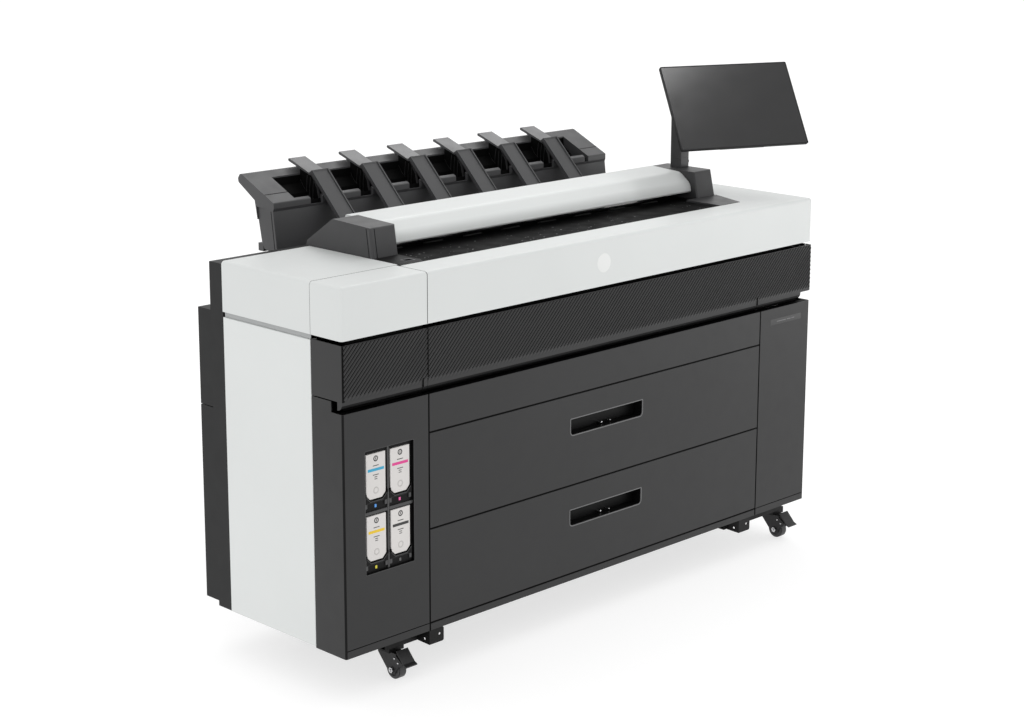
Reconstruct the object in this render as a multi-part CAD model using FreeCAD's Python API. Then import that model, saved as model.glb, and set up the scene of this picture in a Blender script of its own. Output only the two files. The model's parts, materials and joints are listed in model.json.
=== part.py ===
import FreeCAD, Part
import math
import os

# Large format multifunction plotter for 914 mm (36 inch) media, in millimetres.
# Datum: the cabinet's lower left front corner, seen from the front. X runs to the
# right along the front, Y runs back, Z runs up. The last step moves every part so
# that the origin is on the floor, under the middle of the whole machine.

V = FreeCAD.Vector

# ---- driving dimensions -------------------------------------------------------------
WIDTH = 1800.0              # whole cabinet
FLOOR = -125.0              # floor, below the cabinet's underside
MIDDLE_Y = 360.67           # middle of the whole machine's depth, from the front face
LEFT_BAY = 273.0            # right edge of the left, ink side, cabinet
RIGHT_BAY = 1571.0          # left edge of the right cabinet
GAP = 5.0                   # open line between front panels
LINE = 2.5                  # height of the line scored across the side covers
LINE_DEPTH = 1.5
SKIN = 3.0                  # moulded cover thickness
SHEET = 2.0                 # sheet metal thickness

CORNER_Y = 113.0            # depth of the front corner pieces
SIDE_Y = 452.0              # rear edge of the side panels and of the deck
REAR_Y = 505.0              # rear face of the upper rear cover
SERVICE_Y = 575.0           # rear face of the service covers

SKIRT_TOP = 20.0
DRAWER_SPLIT = 266.0        # line between the two drawers
DRAWER_TOP = 514.0
LOWER_TOP = 611.5           # top of the front panels
BAND_LOW = 641.0            # lower edge of the textured band
BAND_TOP = 778.0
DECK_LOW = 788.0
DECK_TOP = 916.0

CASTER_X = (215.0, 1761.0)
CASTER_Y = (85.0, 440.0)    # swivel axes
WHEEL_R = 25.0
WHEEL_TRAIL = 25.0          # wheel axle, forward of the swivel axis

DOOR_AXIS = (9.0, 771.0)                    # Y and Z of the front door's hinge line
DOOR_HINGES = (300.0, 1752.0)
LIP_SLITS = (256.0, 1553.0) # left edges of the slits in the lip
LIP_END = 1757.0            # the lip stops short of the right side
SPINDLE_Y = 250.0
RAIL_Z = (56.0, 80.0)       # drawer rail heights above a drawer's base
HANDLE_X = (781.0, 1064.0)
HANDLE_H = 44.0
HANDLE_DEPTH = 33.0

INK_WINDOW = (67.5, 225.0, 197.0, 508.0)    # x0, x1, z0, z1
INK_COLUMNS = (75.0, 153.0)
INK_ROWS = (227.5, 383.0)
INK_FACE = (62.0, 114.0)    # cartridge width and height
INK_CHAMFER = 12.0
INK_DEPTH = (5.0, 235.0)
INK_FRAME_Y = 8.0           # face of the ink bay, set back in its window

BED_Z = (903.0, 911.0)
BED_X = (281.0, 1639.0)
LID_X = (367.6, 1552.4)
LID_AXIS = (403.0, 941.0)   # Y and Z of the lid's hinge pins
LID_BEND = 30.0             # radius of the bends at the lid's front
CAP_LEFT_X = (282.2, 366.6)
CAP_RIGHT_X = (1554.0, 1633.0)
SCAN_ROLLER = (300.0, 902.5, 9.5)           # Y, Z, radius
GLASS_Y = (326.0, 386.0)

FEED_AXIS = (240.0, 694.0)  # Y and Z of the media feed roller
RAIL_AXIS = (283.0, 746.0)  # Y and Z of the carriage rail
CARRIAGE_X = (1600.0, 1738.0)

STACKER_X = (285.0, 1561.0)
STACKER_OPEN_X = (362.0, 1485.0)
BRACKET_X = (318.0, 1500.0) # steel brackets under the stacker
ARM_COUNT = 6
ARM_FIRST_X = 451.4
ARM_PITCH = 177.1
ARM_WIDTH = 57.7

SCREEN_CENTRE = V(1572.0, 115.5, 1195.8)   # middle of the glass
SCREEN_W = 409.0
SCREEN_H = 263.0
SCREEN_YAW = -22.1
SCREEN_TILT = 33.5
TILT_BEHIND = 45.0          # tilt axis, behind the glass
POST = (1587.0, 1627.0, 326.0, 366.0)
POST_SPLIT = 1020.0         # swivel joint height

RUN = 0.05                  # radial clearance of a running fit
SEAM = 0.05                 # open line between sheets that are welded or screwed together


# ---- helpers ------------------------------------------------------------------------
def box(x0, x1, y0, y1, z0, z1):
    return Part.makeBox(x1 - x0, y1 - y0, z1 - z0, V(x0, y0, z0))


def rod(r, start, direction, length):
    return Part.makeCylinder(r, length, V(*start), V(*direction))


def rod_x(r, x0, x1, y, z):
    return rod(r, (x0, y, z), (1, 0, 0), x1 - x0)


def prism_x(points_yz, x0, x1):
    wire = Part.makePolygon([V(x0, y, z) for y, z in points_yz + points_yz[:1]])
    return Part.Face(wire).extrude(V(x1 - x0, 0, 0))


def prism_y(points_xz, y0, y1):
    wire = Part.makePolygon([V(x, y0, z) for x, z in points_xz + points_xz[:1]])
    return Part.Face(wire).extrude(V(0, y1 - y0, 0))


def prism_z(points_xy, z0, z1):
    wire = Part.makePolygon([V(x, y, z0) for x, y in points_xy + points_xy[:1]])
    return Part.Face(wire).extrude(V(0, 0, z1 - z0))


def joined(first, *others):
    return first.fuse(list(others)).removeSplitter()


def less(shape, *tools):
    return shape.cut(list(tools))


def biggest(shape):
    return max(shape.Solids, key=lambda solid: solid.Volume)


def rounded(shape, radius, wanted):
    """Fillet the straight edges whose two ends satisfy wanted(start, end)."""
    edges = [e for e in shape.Edges
             if len(e.Vertexes) == 2 and wanted(e.Vertexes[0].Point, e.Vertexes[1].Point)]
    return shape.makeFillet(radius, edges) if edges else shape


def along(axis):
    """Edges that run along one axis, 'x', 'y' or 'z'."""
    others = [a for a in "xyz" if a != axis]

    def test(a, b):
        return all(abs(getattr(a, o) - getattr(b, o)) < 1e-6 for o in others)
    return test


def at(**place):
    """Edges whose both ends lie at the given coordinates, such as at(x=0, y=0)."""
    def test(a, b):
        return all(abs(getattr(p, k) - v) < 1e-6 for p in (a, b) for k, v in place.items())
    return test


def any_of(*tests):
    return lambda a, b: any(t(a, b) for t in tests)


def save(name, *solids):
    """Move the solids to the frame's origin and write them as one node."""
    move = V(-WIDTH / 2, -MIDDLE_Y, -FLOOR)
    flat = [s for shape in solids for s in shape.Solids]
    moved = [s.translated(move) for s in flat]
    shape = moved[0] if len(moved) == 1 else Part.makeCompound(moved)
    for s in moved:
        if not s.isValid():
            print("invalid solid in", name)
    shape.exportStep("parts/" + name + ".step")
    SAVED[name] = shape


SAVED = {}


# ---- cabinet covers -----------------------------------------------------------------
def side_panel(outer_x, inward):
    """White side panel: a pan with folded edges, open to the machine's inside."""
    x0, x1 = sorted((outer_x, outer_x + inward * 20))
    pan = box(x0, x1, CORNER_Y + 0.5, SIDE_Y - 0.5, 2, 774.5)
    i0, i1 = sorted((outer_x + inward * SKIN, outer_x + inward * 21))
    inside = box(i0, i1, CORNER_Y + 0.5 + SKIN, SIDE_Y - 0.5 - SKIN, 2 + SKIN, 774.5 - SKIN)
    pan = rounded(pan, 2.5, any_of(*[at(x=outer_x, **{k: v}) for k, v in
                                     (("y", CORNER_Y + 0.5), ("y", SIDE_Y - 0.5),
                                      ("z", 2), ("z", 774.5))]))
    return less(pan, inside)


def front_cover(x0, x1, side_x):
    """Front cover of a side cabinet, a five-sided shell that wraps the corner."""
    shell = box(x0, x1, 0, CORNER_Y - 0.5, 0, LOWER_TOP)
    shell = rounded(shell, 4, at(x=side_x, y=0))
    shell = less(shell, box(x0 + SKIN, x1 - SKIN, SKIN, CORNER_Y, SKIN, LOWER_TOP - SKIN))
    lip = 20                # the top and bottom walls reach back no more than this
    shell = less(shell, box(x0 + SKIN, x1 - SKIN, lip, CORNER_Y, -1, LOWER_TOP + 1))
    # line across the front, in step with the skirt below the drawers
    line = box(x0 - 1, x1 + 1, -1, LINE_DEPTH, SKIRT_TOP - LINE / 2, SKIRT_TOP + LINE / 2)
    shell = less(shell, line)
    e0, e1 = sorted((side_x, side_x + (SKIN if side_x < WIDTH / 2 else -SKIN)))
    ear = box(e0, e1, 41, CORNER_Y - 0.5, LOWER_TOP - 1, BAND_LOW - 3)
    return joined(shell, ear)


def cartridge_outline(x, z, grow=0.0):
    """Cartridge outline in X and Z, with chamfered lower corners."""
    w, h = INK_FACE
    c = INK_CHAMFER + grow * 0.41
    x0, x1, z0, z1 = x - grow, x + w + grow, z - grow, z + h + grow
    return [(x0, z1), (x0, z0 + c), (x0 + c, z0), (x1 - c, z0), (x1, z0 + c), (x1, z1)]


def ink_side():
    wx0, wx1, wz0, wz1 = INK_WINDOW
    cover = front_cover(0, LEFT_BAY, 0)
    window = rounded(box(wx0, wx1, -1, 10, wz0, wz1), 3, along("y"))
    save("left_front_cover", less(cover, window))

    # bay: one block of four sleeves, its face set 8 mm back in the window
    face = INK_FRAME_Y
    bay = box(wx0 - 6, wx1 + 6, SKIN + 0.3, face, wz0 - 6, wz1 + 6)
    bay = less(bay, box(wx0, wx1, 0, face + 1, wz0, wz1))
    block = box(wx0 - 3, wx1 + 3, face, 246, wz0 - 3, wz1 + 3)
    bay = joined(bay, block)
    shelves = []
    for x in INK_COLUMNS:
        for z in INK_ROWS:
            pocket = prism_y(cartridge_outline(x, z, 1.0), face - 6, 240)
            bay = less(bay, pocket)
            # latch shelf under each cartridge, which follows its chamfers
            w = INK_FACE[0]
            shelf = prism_y([(x - 2, z + 13), (x - 5, z + 16), (x - 5, z - 8), (x + w + 5, z - 8),
                             (x + w + 5, z + 16), (x + w + 2, z + 13), (x + w + 2, z + 9),
                             (x + w - 12, z - 2.5), (x + 12, z - 2.5), (x - 2, z + 9)], 4.0, face)
            shelves.append(shelf)
    save("ink_bay_frame", joined(bay, *shelves))

    for colour, (x, z) in {"cyan": (INK_COLUMNS[0], INK_ROWS[1]),
                           "magenta": (INK_COLUMNS[1], INK_ROWS[1]),
                           "yellow": (INK_COLUMNS[0], INK_ROWS[0]),
                           "black": (INK_COLUMNS[1], INK_ROWS[0])}.items():
        body = prism_y(cartridge_outline(x, z), *INK_DEPTH)
        body = rounded(body, 1.2, lambda a, b: abs(a.y - INK_DEPTH[0]) < 1e-6
                       and abs(b.y - INK_DEPTH[0]) < 1e-6)
        save("ink_cartridge_" + colour, body)


def cabinet_covers():
    save("left_side_panel", side_panel(0, 1))
    save("right_side_panel", side_panel(WIDTH, -1))
    save("right_front_cover", front_cover(RIGHT_BAY + GAP / 2, WIDTH, WIDTH))

    x0, x1 = LEFT_BAY + GAP, RIGHT_BAY - GAP / 2
    panel = box(x0, x1, 0, 18, DRAWER_TOP + GAP / 2, LOWER_TOP)
    panel = less(panel, box(x0 + SKIN, x1 - SKIN, SKIN, 19, DRAWER_TOP + GAP / 2 + SKIN,
                            LOWER_TOP - SKIN))
    save("fixed_front_panel", panel)

    skirt = box(x0, x1, 0, 18, 0, SKIRT_TOP - GAP / 2)
    skirt = less(skirt, box(x0 - 1, x1 + 1, SKIN, 19, SKIN, SKIRT_TOP - GAP / 2 - SKIN))
    save("front_skirt", skirt)

    # black neck between the lower fronts and the band
    neck = box(28, WIDTH - 28, 28, 28 + SHEET, LOWER_TOP + 0.2, BAND_LOW + 12)
    floor = box(28, WIDTH - 28, 28 + SHEET + SEAM, SIDE_Y - 6, LOWER_TOP + 2,
                LOWER_TOP + 2 + SHEET)
    # rear wall of the print zone and the shadow strips under the deck's front edge
    wall = box(28, WIDTH - 28, SIDE_Y - 8, SIDE_Y - 6, LOWER_TOP + 4 + SEAM, DECK_LOW - 2)
    strips = [box(24, LEFT_BAY - 6, 14, 16, BAND_TOP - 20, DECK_LOW + 4),
              box(LEFT_BAY + 60, RIGHT_BAY + 120, 20, 22, BAND_TOP - 6, DECK_LOW + 4)]
    save("print_zone_chassis", neck, floor, wall, *strips, *door_brackets())


LIP_CURL = [(0, BAND_LOW), (1.2, 633), (5, 626), (11, 621.5), (18, 620)]


def band_profile(thick):
    """Front band in Y and Z, flat above and curling inward as a lip below."""
    outer = [(0, BAND_TOP)] + LIP_CURL
    inner = [(18, 620 + thick), (12, 624.6), (7.6, 628), (4.2, 634), (thick, BAND_LOW),
             (thick, BAND_TOP)]
    return outer + inner


def lip_slit(x):
    """Release slit in the band's curled lower lip."""
    return box(x, x + 2, -1, 19, 612, BAND_LOW + 1)


def band():
    end = LEFT_BAY - 0.6
    left = prism_x(band_profile(SKIN), 0, end)
    wrap = box(0, SKIN, 0, CORNER_Y - 0.5, BAND_LOW, BAND_TOP)
    left = joined(left, wrap)
    left = rounded(left, 2, lambda a, b: at(x=0, y=0)(a, b) and abs(a.z - b.z) > 50)
    end_wall = prism_x(LIP_CURL + [(18, BAND_LOW)], 0, SKIN)
    left = less(joined(left, end_wall), lip_slit(LIP_SLITS[0]))
    ret = box(WIDTH - SKIN, WIDTH, 21, CORNER_Y - 0.5, BAND_LOW, BAND_TOP)
    save("band_side_panels", left, ret)

    # the front door hangs from two hinges just under the deck
    door = joined(prism_x(band_profile(SKIN), LEFT_BAY + 0.6, WIDTH),
                  box(WIDTH - SKIN, WIDTH, 1, 18, BAND_LOW, BAND_TOP))
    ribs = [box(x, x + 4, SKIN - 0.5, 11, 650, 758) for x in (420, 720, 1020, 1320, 1620)]
    for x in DOOR_HINGES:
        ear = joined(rod_x(7, x, x + 8, *DOOR_AXIS),
                     box(x, x + 8, SKIN - 0.5, DOOR_AXIS[0], DOOR_AXIS[1] - 7, DOOR_AXIS[1] + 3))
        ribs.append(less(ear, rod_x(4 + RUN, x - 1, x + 9, *DOOR_AXIS)))
    short_lip = box(LIP_END, WIDTH + 1, -1, 19, 612, BAND_LOW)
    save("front_door", less(joined(door, *ribs), lip_slit(LIP_SLITS[1]), short_lip))


def door_brackets():
    """Posts on the chassis that carry the front door's two hinge pins."""
    y, z = DOOR_AXIS
    return [joined(rod_x(5.5, x - 11, x - 1, y, z),
                   box(x - 11, x - 1, y, 44, z - 4, z + 4),
                   box(x - 11, x - 1, 36, 44, LOWER_TOP + 4, z + 4),
                   rod_x(4, x - 6, x + 7, y, z)) for x in DOOR_HINGES]


def deck():
    top, low, r = DECK_TOP, DECK_LOW, 9

    def shell(x0, x1, y0, y1, round_edges, open_box):
        body = rounded(box(x0, x1, y0, y1, low, top), r, round_edges)
        return less(body, open_box)

    x1 = LEFT_BAY - 0.6
    save("deck_corner_cap", shell(0, x1, 0, CORNER_Y - 0.6,
                                  any_of(at(x=0, y=0), at(x=0, z=top), at(y=0, z=top)),
                                  box(SKIN, x1 - SKIN, SKIN, CORNER_Y - 0.6 - SKIN, low - 1,
                                      top - SKIN)))
    save("deck_left_cover", shell(0, BED_X[0], CORNER_Y + 0.6, SIDE_Y, at(x=0, z=top),
                                  box(SKIN, BED_X[0] - SKIN, CORNER_Y + 0.6 + SKIN, SIDE_Y - SKIN,
                                      low - 1, top - SKIN)))
    x0 = LEFT_BAY + 0.6
    main = box(x0, WIDTH, 0, SIDE_Y, low, top)
    main = rounded(main, r, any_of(at(x=WIDTH, y=0), at(x=WIDTH, z=top), at(y=0, z=top)))
    main = less(main,
                box(x0 + SKIN, WIDTH - SKIN, SKIN, SIDE_Y - SKIN, low - 1, top - SKIN),
                box(x0 - 1, BED_X[0] + 1, CORNER_Y - 14, SIDE_Y + 1, low - 1, top + 1),
                prism_z(bed_outline(0.8), top - 20, top + 1),
                box(*BED_X, SIDE_Y - SKIN - 1, SIDE_Y + 1, top - 24, top + 1))
    save("deck_main_cover", main)


def bed_outline(grow=0.0):
    """Scanner recess in plan: long and straight, with one slanted corner at the right."""
    g = grow
    x0, x1 = BED_X
    return [(x0 - g, 102 - g), (x1 - 47 + g * 0.5, 102 - g), (x1 + g, 229), (x1 + g, SIDE_Y - 3),
            (x0 - g, SIDE_Y - 3)]


def scanner():
    z0, z1 = BED_Z
    plate = prism_z(bed_outline(), z0, z1)
    y, z, r = SCAN_ROLLER
    plate = less(plate,
                 box(386, 1534, y - r - 2, y + r + 2, z0 - 1, z1 + 1),
                 box(386, 1534, GLASS_Y[0], GLASS_Y[1], z0 - 1, z1 + 1))
    ledges = [box(386, 1534, GLASS_Y[0], GLASS_Y[0] + 4, z0, z1 - 4),
              box(386, 1534, GLASS_Y[1] - 4, GLASS_Y[1], z0, z1 - 4)]
    bearings = []
    for x in (378, 1534):
        block = box(x, x + 8, y - 12, y + 12, z - 12, z0 + 1)
        bearings.append(less(block, rod_x(4 + RUN, x - 1, x + 9, y, z)))
    plate = less(plate, rod_x(4 + RUN, 377, 387, y, z), rod_x(4 + RUN, 1533, 1543, y, z))
    save("scanner_bed", joined(plate, *ledges, *bearings))
    save("scan_glass", box(386.3, 1533.7, GLASS_Y[0] + 0.3, GLASS_Y[1] - 0.3, z1 - 3.9, z1 - 0.4))
    save("scan_sensor_bar", joined(box(390, 1530, 338, 374, 862, z0 - 1.5),
                                   box(384, 390, 330, 382, 872, 892),
                                   box(1530, 1536, 330, 382, 872, 892)))
    rollers = [rod_x(r, 400 + i * 142, 460 + i * 142, y, z) for i in range(8)]
    save("scan_roller", joined(rod_x(4, 379, 1541, y, z), *rollers))

    left = [(467, DECK_TOP), (463, 930), (361.5, 997.6), (219, 992), (207, DECK_TOP),
            (207, BED_Z[1]), (467, BED_Z[1])]
    right = [(467, DECK_TOP), (463, 946), (415, 990.5), (247, 990.5), (230, DECK_TOP),
             (230, BED_Z[1]), (467, BED_Z[1])]
    # foot plates in front of the caps, the left one with a finger slot
    left_foot = prism_z([(282.2, 102.6), (352, 102.6), (366, 128), (366, 206.6), (282.2, 206.6)],
                        BED_Z[1], DECK_TOP + 0.6)
    left_foot = less(left_foot, box(322, 346, 128, 146, BED_Z[1] + 1, DECK_TOP + 1))
    right_foot = prism_z([(1504, 103), (1591.8, 103), (1638.5, 229), (1504, 229)],
                         BED_Z[1], DECK_TOP + 0.6)

    pin_y, pin_z = LID_AXIS
    for name, outline, foot, x0, x1, side in (
            ("scanner_left_cap", left, left_foot, *CAP_LEFT_X, -1),
            ("scanner_right_cap", right, right_foot, *CAP_RIGHT_X, 1)):
        cap = prism_x([(min(y, SIDE_Y - 3), z) if z < DECK_TOP else (y, z) for y, z in outline],
                      x0, x1)
        cap = rounded(cap, 5, lambda a, b: (a.z > 985 and b.z > 985 and abs(a.x - b.x) > 50)
                      or (a.y < 250 and b.y < 250 and abs(a.z - b.z) > 50))
        inner = x1 if side < 0 else x0
        bore = rod_x(4 + RUN, min(inner, inner + side * 9), max(inner, inner + side * 9),
                     pin_y, pin_z)
        save(name, less(cap, bore), foot)

    lid = prism_x([(253, 931), (257.5, 957), (298, 987), (410, 993), (413, 985), (413, 934),
                   (408, 931)], *LID_X)
    lid = rounded(lid, LID_BEND, lambda a, b: abs(a.x - b.x) > 500 and a.z > 950 and a.y < 300)
    lid = rounded(lid, 6, lambda a, b: abs(a.x - b.x) > 500 and (a.z < 932 or a.y > 400) and
                  (a.y < 254 or a.z > 980))
    hollow = prism_x([(258, 930), (261.5, 954), (299.5, 982), (390, 987), (390, 930)],
                     LID_X[0] + 4, LID_X[1] - 4)
    pins = [rod_x(4, LID_X[0] - 8, LID_X[0] + 6, pin_y, pin_z),
            rod_x(4, LID_X[1] - 6, CAP_RIGHT_X[0] + 8, pin_y, pin_z)]
    save("scanner_lid", joined(less(lid, hollow), *pins))


# ---- stacker ------------------------------------------------------------------------
def stacker():
    outline = [(588.5, 868), (603.5, 984), (600.5, 992), (601, 1007), (733, 1069), (741, 1069),
               (749, 1057), (747, 1047), (680, 1006), (658, 899), (648, 880)]
    body = prism_x(outline, *STACKER_X)
    body = rounded(body, 4, lambda a, b: abs(a.x - b.x) > 900 and (a.z > 1040 or a.y < 602)
                   and a.z > 1000)
    trough = prism_x([(593.5, 876), (649.5, 888), (676, 1008), (705, 1030), (705, 1110),
                      (611, 1110), (611, 1004)], *STACKER_OPEN_X)
    body = less(body, trough)
    # between the ledge tabs the front wall stops lower
    for i in range(ARM_COUNT + 1):
        start = 410 if i == 0 else ARM_FIRST_X + (i - 1) * ARM_PITCH + ARM_WIDTH + 75
        stop = STACKER_OPEN_X[1] if i == ARM_COUNT else ARM_FIRST_X + i * ARM_PITCH
        if stop - start > 8:
            body = less(body, box(start, stop, 590, 611.5, 990, 1030))
    # end faces step in behind a front rib
    for x0, x1 in ((STACKER_X[0] - 1, STACKER_X[0] + 4), (STACKER_X[1] - 4, STACKER_X[1] + 1)):
        body = less(body, prism_x([(612, 866), (664, 866), (672, 990), (632, 990)], x0, x1))
    latches = [box(x, x + 22, 655, 676, 872, 893) for x in (STACKER_X[0] + 6, STACKER_X[1] - 28)]
    latches = [less(block, body) for block in latches]
    latches = [biggest(block) for block in latches]

    arms, guides = [], []
    for i in range(ARM_COUNT):
        x0 = ARM_FIRST_X + i * ARM_PITCH
        x1 = x0 + ARM_WIDTH
        leg = prism_x([(652, 1063), (544, 955), (504, 915), (504, 908.5), (497, 908.5),
                       (497, 917), (538, 960), (646, 1068)], x0, x1)
        ribs = [prism_x([(650, 1066), (542, 958), (504, 920), (496, 920), (537, 963), (644, 1071)],
                        a, a + 4) for a in (x0, x1 - 4)]
        top = prism_x([(642, 1062), (655, 1057.5), (742.6, 1086), (744, 1090), (742, 1093),
                       (657, 1062.5), (646, 1071)], x0, x1)
        arm = joined(leg, *ribs, top)
        arms.append(less(arm, body))
        for a in (x0 + 8, x1 - 14):
            # curved rib that turns the sheet forward under the arm
            rib = prism_x([(653, 1052), (660, 1054), (728, 1079), (722, 1074), (706, 1060),
                           (704.5, 1040), (690, 1020), (676, 1008), (666, 960), (656, 912),
                           (640, 906), (628, 940), (626, 985), (634, 1025)], a, a + 6)
            guides.append(less(rib, body, arms[-1]))
    save("stacker_arms", *arms)
    save("stacker_body", body, *latches, *[biggest(g) for g in guides])

    # steel brackets that carry the stacker from the top of the rear cover
    brackets = []
    for x in BRACKET_X:
        bracket = prism_x([(458, 908.5), (510.5, 908.5), (510.5, 867.6), (588.5, 867.6),
                           (646, 879.2), (646, 874.6), (588.5, 863), (505.5, 863),
                           (505.5, 904.2), (458, 904.2)], x, x + 28)
        brackets.append(bracket)
    save("stacker_brackets", *brackets)


# ---- rear ---------------------------------------------------------------------------
def rear():
    x0, x1 = 2.0, WIDTH - 2
    top = 904.0
    upper = box(x0, x1, SIDE_Y + 0.6, REAR_Y, 3, top)
    upper = less(upper, box(x0 + SKIN, x1 - SKIN, SIDE_Y, REAR_Y - SKIN, 3 + SKIN, top - SKIN))
    trim = box(x0, x1, SIDE_Y + 0.6, REAR_Y, top + 0.01, 908.4)
    trim = rounded(trim, 2, at(y=REAR_Y, z=908.4))
    for x in BRACKET_X:
        trim = less(trim, box(x - 0.5, x + 28.5, 457, REAR_Y + 1, top - 1, 909))
    save("rear_cover", upper, trim)

    covers = []
    for z0, z1 in ((9, 526), (528, 780)):
        outer = box(14, WIDTH - 14, REAR_Y + 0.4, SERVICE_Y, z0, z1)
        outer = rounded(outer, 3, any_of(at(y=SERVICE_Y, x=14), at(y=SERVICE_Y, x=WIDTH - 14),
                                         at(y=SERVICE_Y, z=z0), at(y=SERVICE_Y, z=z1)))
        cover = less(outer, box(14 + SKIN, WIDTH - 14 - SKIN, REAR_Y, SERVICE_Y - SKIN,
                                z0 + SKIN, z1 - SKIN))
        slots = [box(180 + i * 16, 187 + i * 16, SERVICE_Y - 4, SERVICE_Y + 1, z1 - 110, z1 - 50)
                 for i in range(18)]
        covers.append(less(cover, *slots))
    inlet_x, inlet_z = 1620, 60
    covers[0] = less(covers[0], box(inlet_x, inlet_x + 50, SERVICE_Y - 10, SERVICE_Y + 1,
                                    inlet_z, inlet_z + 34))
    save("rear_service_covers", *covers)
    inlet = less(box(inlet_x + 0.3, inlet_x + 49.7, SERVICE_Y - 34, SERVICE_Y - 0.5,
                     inlet_z + 0.3, inlet_z + 33.7),
                 box(inlet_x + 5, inlet_x + 45, SERVICE_Y - 30, SERVICE_Y, inlet_z + 5,
                     inlet_z + 29))
    blades = [box(inlet_x + x, inlet_x + x + 2, SERVICE_Y - 31, SERVICE_Y - 8, inlet_z + z,
                  inlet_z + z + 5) for x, z in ((14, 10), (24, 18), (34, 10))]
    save("power_inlet", joined(inlet, *blades))


# ---- frame and works ----------------------------------------------------------------
def frame():
    beams, pads = [], []
    for y0, y1 in ((45, 95), (400, 480)):
        for x0, x1 in ((165, 335), (1485, 1754)):
            outer = box(x0, x1, y0, y1, -36, -0.4)
            beams.append(less(outer, box(x0 - 1, x1 + 1, y0 + SHEET, y1 - SHEET, -34, -2.4)))
    for x in CASTER_X:
        for y in CASTER_Y:
            pad = box(x - 25, x + 25, y - 25, y + 25, -54, -36 - SEAM)
            pads.append(less(pad, rod(6 + RUN, (x, y, -55), (0, 0, 1), 19)))
    feet = []
    for x0, x1 in ((LEFT_BAY, 322), (1498, 1548)):
        plate = box(x0, x1, 0.4, 0.4 + SHEET, -38, -0.4)
        plate = rounded(plate, 5, lambda a, b: along("y")(a, b) and a.x > x1 - 1)
        wing = prism_x([(0.4, -0.4), (0.4, -38), (44.6, -36.6), (44.6, -0.4)], x0, x0 + SHEET)
        top = box(x0, x1 - 6, 0.4, 44.6, -0.4 - SHEET, -0.4)
        foot = joined(plate, wing, top)
        foot = less(foot, rod(3.5, (x0 + 35, -1, -17), (0, 1, 0), 6),
                    rod(3.5, (x0 - 1, 19, -26), (1, 0, 0), 6))
        feet.append(foot)
    long_rails = [box(335.2, 1484.8, y, y + 50, -2.6, -0.4) for y in (45, 415)]
    save("base_frame", *beams, *pads, *long_rails, *feet)

    low, high = 4 + SHEET + SEAM, LOWER_TOP - 8
    floor = box(24, WIDTH - 24, CORNER_Y + 2, SIDE_Y - 8, 4, 4 + SHEET)
    plates = [box(x, x + SHEET, 24, SIDE_Y - 10 - SEAM, low, high) for x in (262, 1590)]
    back = box(262, 1592, SIDE_Y - 10, SIDE_Y - 8, low, high)

    # drawer rails on spacers, stood off the bulkheads behind the front covers
    rails = []
    for base in (SKIRT_TOP + 10, DRAWER_SPLIT + 12):
        z0, z1 = base + RAIL_Z[0], base + RAIL_Z[1]
        for x0, x1, s0, s1 in ((274.4, 293.4, 264 + SEAM, 274.4 - SEAM),
                               (1552.6, 1571.4, 1571.4 + SEAM, 1590 - SEAM)):
            rails.append(less(box(x0, x1, 24, SIDE_Y - 12, z0, z1),
                              box(x0 + SHEET, x1 - SHEET, 23, SIDE_Y - 11, z0 + SHEET,
                                  z1 - SHEET)))
            rails.extend(box(s0, s1, y, y + 30, z0, z1) for y in (CORNER_Y + 3, SIDE_Y - 52))
    save("inner_frame", floor, back, *plates, *rails)


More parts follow.
